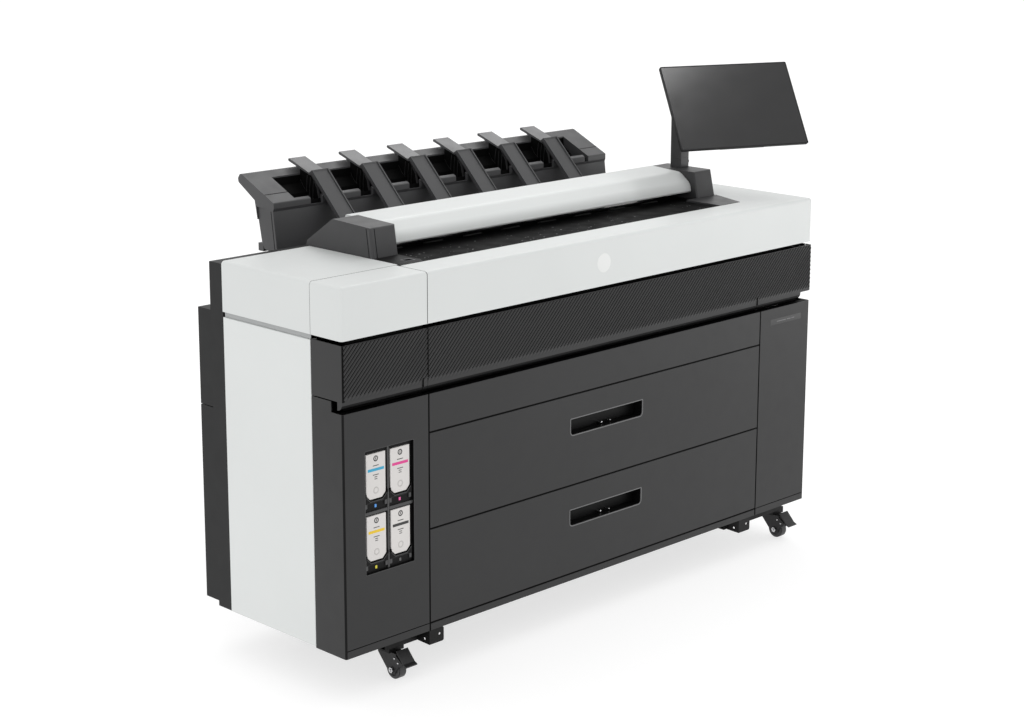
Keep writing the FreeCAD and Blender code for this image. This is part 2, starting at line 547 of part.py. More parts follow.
def works():
    save("platen", less(box(300, 1560, 72, 226, 688, 702),
                        *[box(300 + 18 + i * 62, 340 + i * 62, 90, 210, 690, 703)
                          for i in range(20)]),
         *[box(x, x + 12, 100, 200, LOWER_TOP + 4.1, 687.9) for x in (320, 900, 1520)])

    feed_y, feed_z = FEED_AXIS
    rollers = [rod_x(11, 330 + i * 124, 420 + i * 124, feed_y, feed_z) for i in range(10)]
    save("feed_roller", joined(rod_x(5, 292, 1568, feed_y, feed_z), *rollers))

    beam = less(box(60, 1762, 304, 344, 736, 782), box(59, 1763, 306, 342, 738, 780))
    rail = rod_x(8, 70, 1750, *RAIL_AXIS)
    seat = rod_x(8 + SEAM, 59, 1763, *RAIL_AXIS)
    ends = [less(box(x, x + 18, 268, 304 - SEAM, 722, 770), seat) for x in (60, 1744)]
    legs = [box(x, x + 20, 308, 340, LOWER_TOP + 4 + SEAM, 736 - SEAM) for x in (66, 1738)]
    bearings = []
    for x in (282, 1572):
        block = box(x, x + 8, feed_y - 14, feed_y + 14, LOWER_TOP + 4 + SEAM, feed_z + 14)
        bearings.append(less(block, rod_x(5 + RUN, x - 1, x + 9, feed_y, feed_z)))
    save("carriage_beam", beam, rail, *ends, *legs, *bearings)

    x0, x1 = CARRIAGE_X
    car = box(x0, x1, 96, 262, 712, 800)
    car = rounded(car, 6, lambda a, b: a.z > 799 and b.z > 799)
    head = box(x0 + 8, x1 - 8, 262, 296, 726, 798)
    car = joined(car, head)
    car = less(car, rod_x(8 + RUN, x0 - 1, x1 + 1, *RAIL_AXIS),
               *[box(x0 + 14 + i * 31, x0 + 36 + i * 31, 110, 250, 716, 802) for i in range(4)])
    save("carriage", car)
    heads = [box(x0 + 14.3 + i * 31, x0 + 35.7 + i * 31, 110.3, 249.7, 716.1, 806)
             for i in range(4)]
    save("printheads", *heads)

    motor = rod(24, (100, 324, 800), (0, 0, 1), 46)
    pulleys = [rod(13.8, (x, 324, 782.4), (0, 0, 1), 5.2) for x in (100, 1720)]
    belt = less(box(100, 1720, 308.5, 339.5, 783, 787.2), box(99, 1721, 310, 338, 782, 788))
    shaft = rod(4, (100, 324, 787), (0, 0, 1), 14)
    save("carriage_drive", joined(motor, pulleys[0], shaft), pulleys[1], belt)

    station = less(box(1598, 1738, 100, 240, LOWER_TOP + 4.1, 708),
                   *[box(1612 + i * 31, 1634 + i * 31, 114, 226, 690, 709) for i in range(4)])
    save("service_station", station)
    chips = [box(1630 + i * 34, 1656 + i * 34, 284, 299.9, 240 + 60 * i, 280 + 60 * i)
             for i in range(4)]
    save("electronics", box(1612, 1772, 150, 420, 40, 160), box(1612, 1772, 300, 304, 200, 520),
         *chips)


# ---- drawers ------------------------------------------------------------------------
def drawer(name, low, high, handle_z):
    """Drawer: front with handle cup, tray with slides, and one roll spindle."""
    x0, x1 = LEFT_BAY + GAP, RIGHT_BAY - GAP / 2
    front = box(x0, x1, 0, 15, low + GAP / 2, high - GAP / 2)
    front = less(front, box(x0 + SKIN, x1 - SKIN, SKIN, 16, low + GAP / 2 + SKIN,
                            high - GAP / 2 - SKIN))
    hx0, hx1, hz0, hz1 = *HANDLE_X, handle_z, handle_z + HANDLE_H
    cup = rounded(box(hx0 - 2.5, hx1 + 2.5, 0, HANDLE_DEPTH + SKIN, hz0 - 2.5, hz1 + 2.5), 11,
                  lambda a, b: along("y")(a, b) and a.z < hz0)
    hole = rounded(box(hx0, hx1, -1, HANDLE_DEPTH, hz0, hz1), 9,
                   lambda a, b: along("y")(a, b) and a.z < hz0 + 1)
    save(name + "_front", less(joined(front, cup), hole))

    base = low + 10
    tx0, tx1, ty0, ty1 = 300.0, 1546.0, 15.2, 436.0
    wall_top = base + 96
    tray = less(box(tx0, tx1, ty0, ty1, base, wall_top),
                box(tx0 + SHEET, tx1 - SHEET, ty0 + SHEET, ty1 - SHEET, base + SHEET,
                    wall_top + 1))
    slides = [box(294, tx0 - SEAM, 44, ty1, base + RAIL_Z[0], base + RAIL_Z[1]),
              box(tx1 + SEAM, 1552, 44, ty1, base + RAIL_Z[0], base + RAIL_Z[1])]
    axis_z = base + 118
    posts = []
    for x in (306, 1530):
        post = joined(box(x, x + 10, SPINDLE_Y - 25, SPINDLE_Y + 25, base + SHEET + SEAM,
                          axis_z),
                      rod_x(25, x, x + 10, SPINDLE_Y, axis_z))
        posts.append(less(post, rod_x(10 + RUN, x - 1, x + 11, SPINDLE_Y, axis_z)))
    save(name + "_tray", tray, *slides, *posts)

    spindle = joined(rod_x(10, 304, 1542, SPINDLE_Y, axis_z),
                     rod_x(18, 320, 1526, SPINDLE_Y, axis_z),
                     *[rod_x(37, x, x + 30, SPINDLE_Y, axis_z) for x in (466, 1350)],
                     rod_x(66, 454, 466, SPINDLE_Y, axis_z),
                     rod_x(66, 1380, 1392, SPINDLE_Y, axis_z))
    save(name + "_spindle", spindle)


# ---- display ------------------------------------------------------------------------
def screen_place(shape):
    """Carry a shape from the screen's own frame to its place on the machine."""
    place = FreeCAD.Placement(SCREEN_CENTRE, FreeCAD.Rotation(V(0, 0, 1), SCREEN_YAW)
                              * FreeCAD.Rotation(V(1, 0, 0), -SCREEN_TILT))
    moved = shape.copy()
    moved.Placement = place
    return moved


def display():
    x0, x1, y0, y1 = POST
    xc, yc = (x0 + x1) / 2, (y0 + y1) / 2
    post = rounded(box(x0, x1, y0, y1, 990.5, POST_SPLIT), 4, along("z"))
    spigot = rod(9, (xc, yc, POST_SPLIT - 1), (0, 0, 1), 31)
    knob = rod_x(6, x1 - 1, x1 + 7, yc - 8, 1006)
    save("display_post", joined(post, spigot, knob))

    hw, hh = SCREEN_W / 2, SCREEN_H / 2
    glass_t, rim = 1.2, 3.5
    shell = rounded(box(-hw, hw, 0, 10, -hh, hh), 5, along("y"))
    shell = rounded(shell, 2.5, lambda a, b: abs(a.y - 10) < 1e-6 and abs(b.y - 10) < 1e-6)
    shell = less(shell, box(-hw + rim, hw - rim, -1, glass_t, -hh + rim, hh - rim))
    bump = Part.makeWedge(-140, 10, -85, -125, -70, 140, 24, 85, 125, 70)
    lugs = []
    for side in (-1, 1):
        a, b = sorted((side * 31, side * 37))
        lugs.append(joined(box(a, b, 20, TILT_BEHIND, -11, 11), rod_x(11, a, b, TILT_BEHIND, 0)))
    pin = rod_x(5, -37, 37, TILT_BEHIND, 0)
    housing = joined(shell, bump, *lugs, pin)
    save("display_housing", screen_place(housing))
    glass = rounded(box(-hw + rim + 0.15, hw - rim - 0.15, 0.1, glass_t, -hh + rim + 0.15,
                        hh - rim - 0.15), 2, along("y"))
    save("display_glass", screen_place(glass))

    # swivelling upper post with the arm that reaches forward to the tilt barrel
    pivot = screen_place(Part.makeSphere(1, V(0, TILT_BEHIND, 0))).Solids[0].CenterOfMass
    column = rounded(box(x0, x1, y0, y1, POST_SPLIT + 0.4, 1168), 4, along("z"))
    column = less(column, rod(9 + RUN, (xc, yc, POST_SPLIT), (0, 0, 1), 31))
    start = V(xc, yc - 10, 1150)
    reach = pivot - start
    arm = Part.makeBox(30, 22, reach.Length - 4, V(-15, -11, 0))
    arm.Placement = FreeCAD.Placement(start, FreeCAD.Rotation(V(0, 0, 1), reach))
    barrel = less(rod_x(12, -29.5, 29.5, TILT_BEHIND, 0), rod_x(5 + RUN, -31, 31, TILT_BEHIND, 0))
    barrel = screen_place(barrel)
    bore = screen_place(rod_x(5 + RUN, -31, 31, TILT_BEHIND, 0))
    save("display_arm", less(joined(column, arm, barrel), bore))


# ---- casters ------------------------------------------------------------------------
def caster(tag, x, y, braked):
    """Swivel caster with its wheel set forward of the swivel axis."""
    axle_y, axle_z = y - WHEEL_TRAIL, FLOOR + WHEEL_R
    top = -54.3

    def spot(points):
        return [(axle_y - 60 + py, pz) for py, pz in points]

    cheek = spot([(112, top), (112, -64), (73, -107), (66, -111.5), (58, -112.5), (50, -109),
                  (45, -100), (37, -88), (25, -80), (23, -74), (44, -60), (46, top)])
    cheeks = [prism_x(cheek, x - 16, x - 13.3), prism_x(cheek, x + 13.3, x + 16)]
    plate = box(x - 16, x + 16, axle_y - 11, axle_y + 52, top - 2.6, top)
    axle = joined(rod_x(4, x - 24, x + 19, axle_y, axle_z),
                  rod_x(7, x + 16, x + 19, axle_y, axle_z),
                  Part.makeCylinder(7.5, 5, V(x - 21, axle_y, axle_z), V(1, 0, 0)))
    spigot = rod(6, (x, y, top - 1), (0, 0, 1), 15)
    rivets = [rod_x(2.6, x - 17.6, x - 15, axle_y - 60 + py, pz) for py, pz in ((50, -67), (37, -76))]
    pivot = (axle_y - 60 + 42, -68.0)
    parts = cheeks + [plate, axle, spigot] + rivets
    if braked:
        parts.append(rod_x(3, x - 15, x + 15, *pivot))
    save("caster_" + tag + "_fork", joined(*parts))

    wheel = joined(rod_x(WHEEL_R, x - 10, x + 10, axle_y, axle_z),
                   rod_x(WHEEL_R - 2, x - 12, x + 12, axle_y, axle_z))
    wheel = less(wheel,
                 less(rod_x(17, x - 13, x - 9, axle_y, axle_z), rod_x(8, x - 13, x - 9, axle_y,
                                                                     axle_z)),
                 less(rod_x(17, x + 9, x + 13, axle_y, axle_z), rod_x(8, x + 9, x + 13, axle_y,
                                                                     axle_z)),
                 rod_x(4 + RUN, x - 13, x + 13, axle_y, axle_z))
    save("caster_" + tag + "_wheel", wheel)

    if braked:
        pedal = prism_x(spot([(41.5, -46), (40, -44.5), (14, -73), (5, -77), (4, -80), (6, -80.5),
                              (15.5, -76.5)]), x - 18, x + 20)
        ears = []
        for a, b in ((x - 12.8, x - 9.8), (x + 9.8, x + 12.8)):
            ear = joined(prism_x(spot([(40, -46.5), (47, -64), (38, -72), (22, -67)]), a, b),
                         rod_x(6.5, a, b, *pivot))
            ears.append(less(ear, rod_x(3 + RUN, a - 1, b + 1, *pivot)))
        save("caster_" + tag + "_pedal", joined(pedal, *ears))


# ---- build --------------------------------------------------------------------------
os.makedirs("parts", exist_ok=True)
cabinet_covers()
ink_side()
band()
deck()
scanner()
stacker()
rear()
frame()
works()
drawer("upper_drawer", DRAWER_SPLIT, DRAWER_TOP, 403.0)
drawer("lower_drawer", SKIRT_TOP, DRAWER_SPLIT, 153.0)
display()
for side, cx in zip(("left", "right"), CASTER_X):
    caster("front_" + side, cx, CASTER_Y[0], True)
    caster("rear_" + side, cx, CASTER_Y[1], False)

whole = Part.makeCompound(list(SAVED.values())).BoundBox
print("nodes", len(SAVED))
print("size %.1f x %.1f x %.1f" % (whole.XLength, whole.YLength, whole.ZLength))
print("middle %.2f %.2f, lowest %.2f" % (whole.Center.x, whole.Center.y, whole.ZMin))
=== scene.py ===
import json
import math

import bmesh
import bpy
from mathutils import Matrix, Vector


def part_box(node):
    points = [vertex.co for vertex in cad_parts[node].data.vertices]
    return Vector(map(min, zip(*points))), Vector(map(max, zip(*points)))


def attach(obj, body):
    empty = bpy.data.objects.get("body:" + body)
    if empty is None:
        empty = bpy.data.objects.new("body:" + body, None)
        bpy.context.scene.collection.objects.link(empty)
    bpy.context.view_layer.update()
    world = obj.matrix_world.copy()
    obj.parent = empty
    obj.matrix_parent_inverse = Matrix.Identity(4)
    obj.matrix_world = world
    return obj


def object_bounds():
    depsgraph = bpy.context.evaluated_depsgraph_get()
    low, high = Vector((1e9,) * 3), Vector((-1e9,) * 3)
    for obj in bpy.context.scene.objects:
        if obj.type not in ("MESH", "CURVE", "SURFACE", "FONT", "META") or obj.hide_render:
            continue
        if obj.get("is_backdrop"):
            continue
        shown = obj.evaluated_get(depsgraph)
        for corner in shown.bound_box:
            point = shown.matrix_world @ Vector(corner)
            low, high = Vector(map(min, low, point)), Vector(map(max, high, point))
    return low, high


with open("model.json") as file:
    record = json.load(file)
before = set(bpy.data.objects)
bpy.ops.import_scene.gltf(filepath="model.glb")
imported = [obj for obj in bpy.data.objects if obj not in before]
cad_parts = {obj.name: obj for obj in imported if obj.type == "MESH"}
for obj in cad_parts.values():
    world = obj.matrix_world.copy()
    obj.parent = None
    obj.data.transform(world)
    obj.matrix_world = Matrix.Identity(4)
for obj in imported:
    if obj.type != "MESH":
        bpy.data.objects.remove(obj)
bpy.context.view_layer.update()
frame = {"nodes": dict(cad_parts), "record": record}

# Lengths below are in millimetres from the cabinet's lower left front corner, X right,
# Y back, Z up, and at() carries them into the frame.
MM = 0.001
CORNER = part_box("left_front_cover")[0]


def at(x, y, z):
    """A point in those millimetres, carried into the frame's metres."""
    return CORNER + Vector((x, y, z)) * MM


def span(node):
    """A CAD node's box at rest as (x0, x1, y0, y1, z0, z1), in the same millimetres."""
    low, high = ((p - CORNER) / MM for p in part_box(node))
    return low.x, high.x, low.y, high.y, low.z, high.z


# ---- materials -----------------------------------------------------------------------
NOISE_LOW, NOISE_HIGH = 0.3, 0.7    # most of a noise texture's values lie between these
DRIFT_SCALE, PATCH_SCALE = 3.0, 22.0    # noise scales, per metre, of tone and of gloss
FLECK_TONE = 0.6                    # a mottled surface's darkest flecks, against its colour


def new_material(name):
    """A new material with its nodes, links, shader and object coordinates."""
    material = bpy.data.materials.new(name)
    material.use_nodes = True
    tree = material.node_tree
    shader = tree.nodes["Principled BSDF"]
    place = tree.nodes.new("ShaderNodeTexCoord").outputs["Object"]
    return material, tree.nodes, tree.links, shader, place


def noise(nodes, links, place, scale, detail=2.0, stretch=None):
    """A noise texture's value. stretch, if given, scales it along X, Y and Z."""
    if stretch:
        mapping = nodes.new("ShaderNodeMapping")
        mapping.inputs["Scale"].default_value = stretch
        links.new(place, mapping.inputs["Vector"])
        place = mapping.outputs["Vector"]
    texture = nodes.new("ShaderNodeTexNoise")
    texture.inputs["Scale"].default_value = scale
    texture.inputs["Detail"].default_value = detail
    links.new(place, texture.inputs["Vector"])
    return texture.outputs["Fac"]


def spread(nodes, links, value, low, high):
    """A noise texture's value carried to low..high."""
    scaled = nodes.new("ShaderNodeMapRange")
    for socket, number in (("From Min", NOISE_LOW), ("From Max", NOISE_HIGH),
                           ("To Min", low), ("To Max", high)):
        scaled.inputs[socket].default_value = number
    links.new(value, scaled.inputs["Value"])
    return scaled.outputs["Result"]


def mixed(nodes, links, share, first, second):
    """A colour between first and second, each a colour or a socket."""
    mix = nodes.new("ShaderNodeMix")
    mix.data_type = "RGBA"
    links.new(share, mix.inputs["Factor"])
    for socket, colour in ((mix.inputs[6], first), (mix.inputs[7], second)):
        if isinstance(colour, bpy.types.NodeSocket):
            links.new(colour, socket)
        else:
            socket.default_value = (*colour, 1.0)
    return mix.outputs[2]


def toned(colour, factor):
    """A colour made lighter or darker."""
    return tuple(min(1.0, c * factor) for c in colour)


def bumped(nodes, links, shader, height, distance):
    """Relief on shader from a height of 0..1, distance metres deep."""
    bump = nodes.new("ShaderNodeBump")
    bump.inputs["Strength"].default_value = 1.0
    bump.inputs["Distance"].default_value = distance
    links.new(height, bump.inputs["Height"])
    links.new(bump.outputs["Normal"], shader.inputs["Normal"])


def moulded(name, colour, rough, grain, depth, tone, gloss, **fixed):
    """A moulded, painted or coated surface: slow drift of tone, fine mottling, uneven gloss
    and a fine grain. grain and depth are in millimetres. tone and gloss say how far colour
    and roughness stray. fixed holds further shader values, with _ in place of a space."""
    material, nodes, links, shader, place = new_material(name)
    drift = noise(nodes, links, place, DRIFT_SCALE)
    fine = noise(nodes, links, place, 1000.0 / grain, 3.0)
    broad = mixed(nodes, links, spread(nodes, links, drift, 0, 1), toned(colour, 1 - tone),
                  toned(colour, 1 + tone))
    mottle = spread(nodes, links, fine, 0.0, 2.2 * tone)
    links.new(mixed(nodes, links, mottle, broad, toned(colour, FLECK_TONE)),
              shader.inputs["Base Color"])
    patches = noise(nodes, links, place, PATCH_SCALE, 4.0)
    links.new(spread(nodes, links, patches, rough - gloss, rough + gloss),
              shader.inputs["Roughness"])
    bumped(nodes, links, shader, fine, depth * MM)
    for socket, number in fixed.items():
        shader.inputs[socket.replace("_", " ")].default_value = number
    return material


def brushed(name, colour, rough, stretch):
    """Metal with fine brushing along the axis whose stretch is small."""
    material, nodes, links, shader, place = new_material(name)
    lines = noise(nodes, links, place, 900.0, 3.0, stretch)
    drift = noise(nodes, links, place, 9.0)
    base = mixed(nodes, links, spread(nodes, links, lines, 0, 1), toned(colour, 0.82),
                 toned(colour, 1.1))
    links.new(mixed(nodes, links, spread(nodes, links, drift, 0, 0.35), base,
                    toned(colour, 0.7)), shader.inputs["Base Color"])
    links.new(spread(nodes, links, lines, rough - 0.08, rough + 0.1), shader.inputs["Roughness"])
    shader.inputs["Metallic"].default_value = 1.0
    bumped(nodes, links, shader, lines, 0.01 * MM)
    return material


WHITE = (0.620, 0.637, 0.630)
COVER = (0.0150, 0.0150, 0.0154)

# Each moulded() row: name, colour, roughness, grain, depth, tone, gloss. The keys are the
# record's material slots.
looks = {
    "white_cover": moulded("satin_white", WHITE, 0.42, 1.0, 0.012, 0.012, 0.04),
    "white_panel": moulded("painted_white", toned(WHITE, 1.05), 0.48, 1.6, 0.02, 0.014, 0.05),
    "dark_cover": moulded("charcoal_cover", COVER, 0.40, 0.9, 0.02, 0.07, 0.04,
                          Specular_IOR_Level=0.36),
    "dark_band": moulded("charcoal_band", toned(COVER, 1.1), 0.34, 0.9, 0.015, 0.06, 0.04,
                         Specular_IOR_Level=0.36),
    "dark_sheet": moulded("powder_coat", (0.0075, 0.0075, 0.0078), 0.52, 1.3, 0.05, 0.05, 0.025,
                          Specular_IOR_Level=0.27),
    "frame_steel": moulded("frame_coat", (0.010, 0.010, 0.0104), 0.48, 1.2, 0.05, 0.1, 0.07,
                           Specular_IOR_Level=0.4),
    "bare_steel": brushed("brushed_steel", (0.56, 0.56, 0.57), 0.30, (0.02, 1.0, 1.0)),
    "stacker_plastic": moulded("grained_stacker", (0.048, 0.048, 0.0500), 0.47, 1.2,
                               0.05, 0.09, 0.05),
    "scanner_plastic": moulded("grained_cap", (0.031, 0.031, 0.0325), 0.46, 1.0, 0.04, 0.08, 0.05),
    "bed_black": moulded("scan_bed_black", (0.0035, 0.0035, 0.0036), 0.55, 1.8, 0.02, 0.2, 0.08,
                         Specular_IOR_Level=0.03),
    "screen_glass": moulded("screen_black", (0.008, 0.008, 0.0085), 0.16, 6.0, 0.002, 0.12, 0.02),
    "roller_rubber": moulded("roller_rubber", (0.045, 0.045, 0.046), 0.7, 1.0, 0.08, 0.12, 0.08),
    "ink_body": moulded("cartridge_shell", (0.62, 0.60, 0.585), 0.46, 0.8, 0.012, 0.02, 0.05),
    # The ink bay's plastic matches the covers, made near-black here: painted shade in the bay's
    # recess and in the handle pockets.
    "bay_plastic": moulded("bay_black", (0.003, 0.003, 0.0031), 0.42, 0.9, 0.02, 0.08, 0.05,
                           Specular_IOR_Level=0.14),
    "works_plastic": moulded("works_grey", (0.055, 0.055, 0.057), 0.5, 1.0, 0.04, 0.1, 0.06),
    "board_green": moulded("circuit_green", (0.02, 0.14, 0.055), 0.38, 2.6, 0.04, 0.2, 0.08),
    "wheel_grey": moulded("wheel_tread", (0.030, 0.030, 0.031), 0.55, 1.0, 0.05, 0.12, 0.07),
}


def clear_glass():
    """Glass with a little tint and dust."""
    material, nodes, links, shader, place = new_material("tinted_glass")
    dust = noise(nodes, links, place, 70.0, 4.0)
    links.new(mixed(nodes, links, dust, (0.05, 0.06, 0.06), (0.09, 0.1, 0.1)),
              shader.inputs["Base Color"])
    links.new(spread(nodes, links, dust, 0.04, 0.1), shader.inputs["Roughness"])
    shader.inputs["Alpha"].default_value = 0.55
    return material


looks["clear_glass"] = clear_glass()
rim_grey = moulded("rim_grey", (0.13, 0.13, 0.132), 0.34, 0.8, 0.012, 0.05, 0.04)
# Near-black: painted shade in seams, gaps and hollows, and the own colour of dark joint lines and
# the latch ears.
seam_black = moulded("seam_black", (0.0022, 0.0022, 0.0022), 0.6, 1.0, 0.02, 0.1, 0.05,
                     Specular_IOR_Level=0.06)
# Near-black: painted shade on the covers' rounded front corners and the band's curled lip; the
# left foot plate's skin is this colour too.
edge_dark = moulded("edge_dark", (0.0055, 0.0055, 0.0056), 0.5, 1.0, 0.02, 0.1, 0.05,
                    Specular_IOR_Level=0.12)
chassis_black = moulded("chassis_black", (0.003, 0.003, 0.003), 0.6, 1.3, 0.04, 0.1, 0.06,
                        Specular_IOR_Level=0.08)
frame_black = moulded("frame_black", (0.0035, 0.0035, 0.0036), 0.5, 1.2, 0.04, 0.1, 0.06,
                      Specular_IOR_Level=0.2)
bezel_black = moulded("bezel_black", (0.006, 0.006, 0.0062), 0.42, 0.9, 0.02, 0.08, 0.05,
                      Specular_IOR_Level=0.2)
# A grey lighter than the bay's plastic, on the bay's ribs, latch lips and window rim: painted
# highlight.
rib_highlight_grey = moulded("rib_highlight_grey", (0.038, 0.038, 0.039), 0.32, 0.8, 0.012, 0.05, 0.04)
# Light grey for the specks on the scan bed: painted reflections.
speck_grey = moulded("speck_grey", (0.065, 0.065, 0.065), 0.35, 2.0, 0.02, 0.3, 0.06)
rating_plate = moulded("rating_plate", (0.40, 0.40, 0.39), 0.38, 1.2, 0.01, 0.04, 0.05)
# A lighter grey for the stacker arms' top plates: painted sheen on their upward faces, mottled for
# their grain.
arm_top_sheen_grey = moulded("arm_top_sheen_grey", (0.165, 0.165, 0.168), 0.5, 2.4, 0.05, 0.22, 0.06)
# A light grey for the stacker tabs' back edges: painted highlight.
tab_highlight_grey = moulded("tab_highlight_grey", (0.42, 0.42, 0.42), 0.3, 1.4, 0.02, 0.12, 0.06)
# A grey lighter than the scanner plastic. On the left cap's corner bead and the stacker tabs' tops
# it is painted highlight; the rear screws and the foot slot's rim are this colour too.
cap_grey = moulded("cap_grey", (0.060, 0.060, 0.063), 0.36, 1.0, 0.03, 0.08, 0.05)
# A mid grey for the strips in the gaps under the deck: painted shade on a white part.
gap_shade_grey = moulded("gap_shade_grey", (0.36, 0.37, 0.37), 0.5, 1.4, 0.02, 0.03, 0.05)
# Dark grey on the guides' ribs: painted shade, a little lighter than the skins round them as a
# painted highlight along each rib.
arc_grey = moulded("arc_grey", (0.020, 0.020, 0.021), 0.4, 0.9, 0.02, 0.08, 0.05)
stud_steel = brushed("stud_steel", (0.72, 0.72, 0.73), 0.22, (1.0, 1.0, 0.1))
plate_grey = moulded("plate_grey", (0.022, 0.022, 0.0225), 0.36, 0.9, 0.012, 0.06, 0.04)
badge_white = moulded("badge_white", (0.70, 0.71, 0.70), 0.36, 0.9, 0.006, 0.01, 0.03)
print_grey = moulded("print_grey", (0.028, 0.028, 0.028), 0.5, 0.6, 0.01, 0.1, 0.04)
ring_grey = moulded("ring_grey", (0.47, 0.455, 0.44), 0.5, 0.8, 0.01, 0.03, 0.04)
inks = {
    "cyan": moulded("stripe_cyan", (0.022, 0.33, 0.53), 0.42, 0.9, 0.01, 0.04, 0.04),
    "magenta": moulded("stripe_magenta", (0.66, 0.042, 0.25), 0.42, 0.9, 0.01, 0.04, 0.04),
    "yellow": moulded("stripe_yellow", (0.74, 0.50, 0.014), 0.42, 0.9, 0.01, 0.04, 0.04),
    "black": moulded("stripe_black", (0.02, 0.02, 0.02), 0.42, 0.9, 0.01, 0.08, 0.04),
}
tags = {
    "cyan": moulded("tag_blue", (0.08, 0.30, 0.72), 0.4, 0.9, 0.01, 0.05, 0.04),
    "magenta": moulded("tag_pink", (0.80, 0.10, 0.36), 0.4, 0.9, 0.01, 0.05, 0.04),
    "yellow": moulded("tag_yellow", (0.66, 0.60, 0.04), 0.4, 0.9, 0.01, 0.05, 0.04),
    "black": moulded("tag_grey", (0.09, 0.09, 0.09), 0.4, 0.9, 0.01, 0.05, 0.04),
}

slot_of = {s["node"]: s["material_slot"] for s in frame["record"]["subparts"]}
# Nodes that look darker than their slot does elsewhere.
own_look = {
    "print_zone_chassis": chassis_black,
    "base_frame": frame_black,
    "stacker_brackets": frame_black,
    "display_housing": bezel_black,
    "inner_frame": frame_black,
}
for node, shown in frame["nodes"].items():
    shown.data.materials.clear()
    shown.data.materials.append(own_look.get(node, looks[slot_of[node]]))


# ---- mesh helpers --------------------------------------------------------------------
# Their points are in millimetres from the cabinet's corner, and they add to the bmesh bm.


def finished(name, body, bm, material, smooth=32.0):
    """A new piece from bm, on a body and in a material slot. Edges sharper than smooth
    degrees stay sharp."""
    for v in bm.verts:
        v.co = at(*v.co)
    bmesh.ops.recalc_face_normals(bm, faces=bm.faces)
    mesh = bpy.data.meshes.new(name)
    bm.to_mesh(mesh)
    bm.free()
    for polygon in mesh.polygons:
        polygon.use_smooth = True
    mesh.set_sharp_from_angle(angle=math.radians(smooth))
    piece = bpy.data.objects.new(name, mesh)
    bpy.context.scene.collection.objects.link(piece)
    mesh.materials.append(material)
    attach(piece, body)
    return piece


def ring_of(bm, points):
    """A ring of new vertices."""
    return [bm.verts.new(p) for p in points]


def skinned(bm, rings, caps=True):
    """Faces between rings of points in turn, and over the first and last ring."""
    for a, b in zip(rings, rings[1:]):
        count = len(a)
        for i in range(count):
            j = (i + 1) % count
            bm.faces.new((a[i], a[j], b[j], b[i]))
    if caps:
        bm.faces.new(list(reversed(rings[0])))
        bm.faces.new(rings[-1])


def circle(radius, steps):
    """Points round a circle about the origin, in two coordinates."""
    turns = [2 * math.pi * k / steps for k in range(steps)]
    return [(radius * math.cos(a), radius * math.sin(a)) for a in turns]


def rounded_outline(x0, x1, z0, z1, radii, steps=6):
    """Outline in X and Z. radii are those of the lower left, lower right, upper right and
    upper left corners."""
    corners = ((x0, z0, 180), (x1, z0, 270), (x1, z1, 0), (x0, z1, 90))
    points = []
    for (cx, cz, first), r in zip(corners, radii):
        ox = cx + (r if cx == x0 else -r)
        oz = cz + (r if cz == z0 else -r)
        for k in range(steps + 1):
            a = math.radians(first + 90 * k / steps)
            points.append((ox + r * math.cos(a), oz + r * math.sin(a)))
    return points


# The rounding of a plate's front edge: share inwards, share backwards.
EASING = ((1.0, 0.0), (0.38, 0.08), (0.08, 0.38), (0.0, 1.0))


def slab_into(bm, outline, front, back, edge):
    """A plate with an outline in X and Z, from depth front to back, its front edge rounded."""
    cx = sum(p[0] for p in outline) / len(outline)
    cz = sum(p[1] for p in outline) / len(outline)

    def inset(amount):
        pulled = []
        for x, z in outline:
            dx, dz = cx - x, cz - z
            pulled.append((x + math.copysign(min(amount, abs(dx)), dx),
                           z + math.copysign(min(amount, abs(dz)), dz)))
        return pulled

    rings = [ring_of(bm, [(x, front + edge * deep, z) for x, z in inset(edge * inwards)])
             for inwards, deep in EASING]
    rings.append(ring_of(bm, [(x, back, z) for x, z in outline]))
    skinned(bm, rings)


def plate_into(bm, x0, x1, z0, z1, front, back, edge, radius, steps=6):
    """slab_into for a plate with one radius at all four corners."""
    slab_into(bm, rounded_outline(x0, x1, z0, z1, (radius,) * 4, steps), front, back, edge)


def strip_box(bm, x0, x1, y0, y1, z0, z1, edge=0.25):
    """A long strip with eased edges on its front."""
    plate_into(bm, x0, x1, z0, z1, y0, y1, edge, edge, 2)


def swept(bm, path, section):
    """A closed loop of section, points (outward, y), along a closed path in X and Z."""
    n = len(path)
    loops = []
    for i, (x, z) in enumerate(path):
        (px, pz), (nx, nz) = path[i - 1], path[(i + 1) % n]
        tx, tz = nx - px, nz - pz
        length = math.hypot(tx, tz)
        ox, oz = tz / length, -tx / length
        loops.append(ring_of(bm, [(x + ox * u, y, z + oz * u) for u, y in section]))
    skinned(bm, loops + [loops[0]], caps=False)


def prism_x(bm, outline, x0, x1):
    """A solid with an outline in Y and Z, from x0 to x1."""
    skinned(bm, [ring_of(bm, [(x, y, z) for y, z in outline]) for x in (x0, x1)])


def prism_y(bm, outline, y0, y1):
    """A solid with an outline in X and Z, from y0 to y1."""
    skinned(bm, [ring_of(bm, [(x, y, z) for x, z in outline]) for y in (y0, y1)])


def prism_z(bm, outline, z0, z1):
    """A solid with an outline in X and Y, from z0 to z1."""
    skinned(bm, [ring_of(bm, [(x, y, z) for x, y in outline]) for z in (z0, z1)])


def leaning_bar(bm, x0, x1, front, back, ends):
    """A bar through ends (y, z), which reaches from front to back of each y."""
    skinned(bm, [ring_of(bm, [(x0, y + front, z), (x1, y + front, z), (x1, y + back, z),
                              (x0, y + back, z)]) for y, z in ends])


def turned_x(bm, x, y, z, profile, steps=20):
    """A turned head on an axis along X. profile is (radius, x offset) in turn."""
    skinned(bm, [ring_of(bm, [(x + dx, y + a, z + b) for a, b in circle(r, steps)])
                 for r, dx in profile])


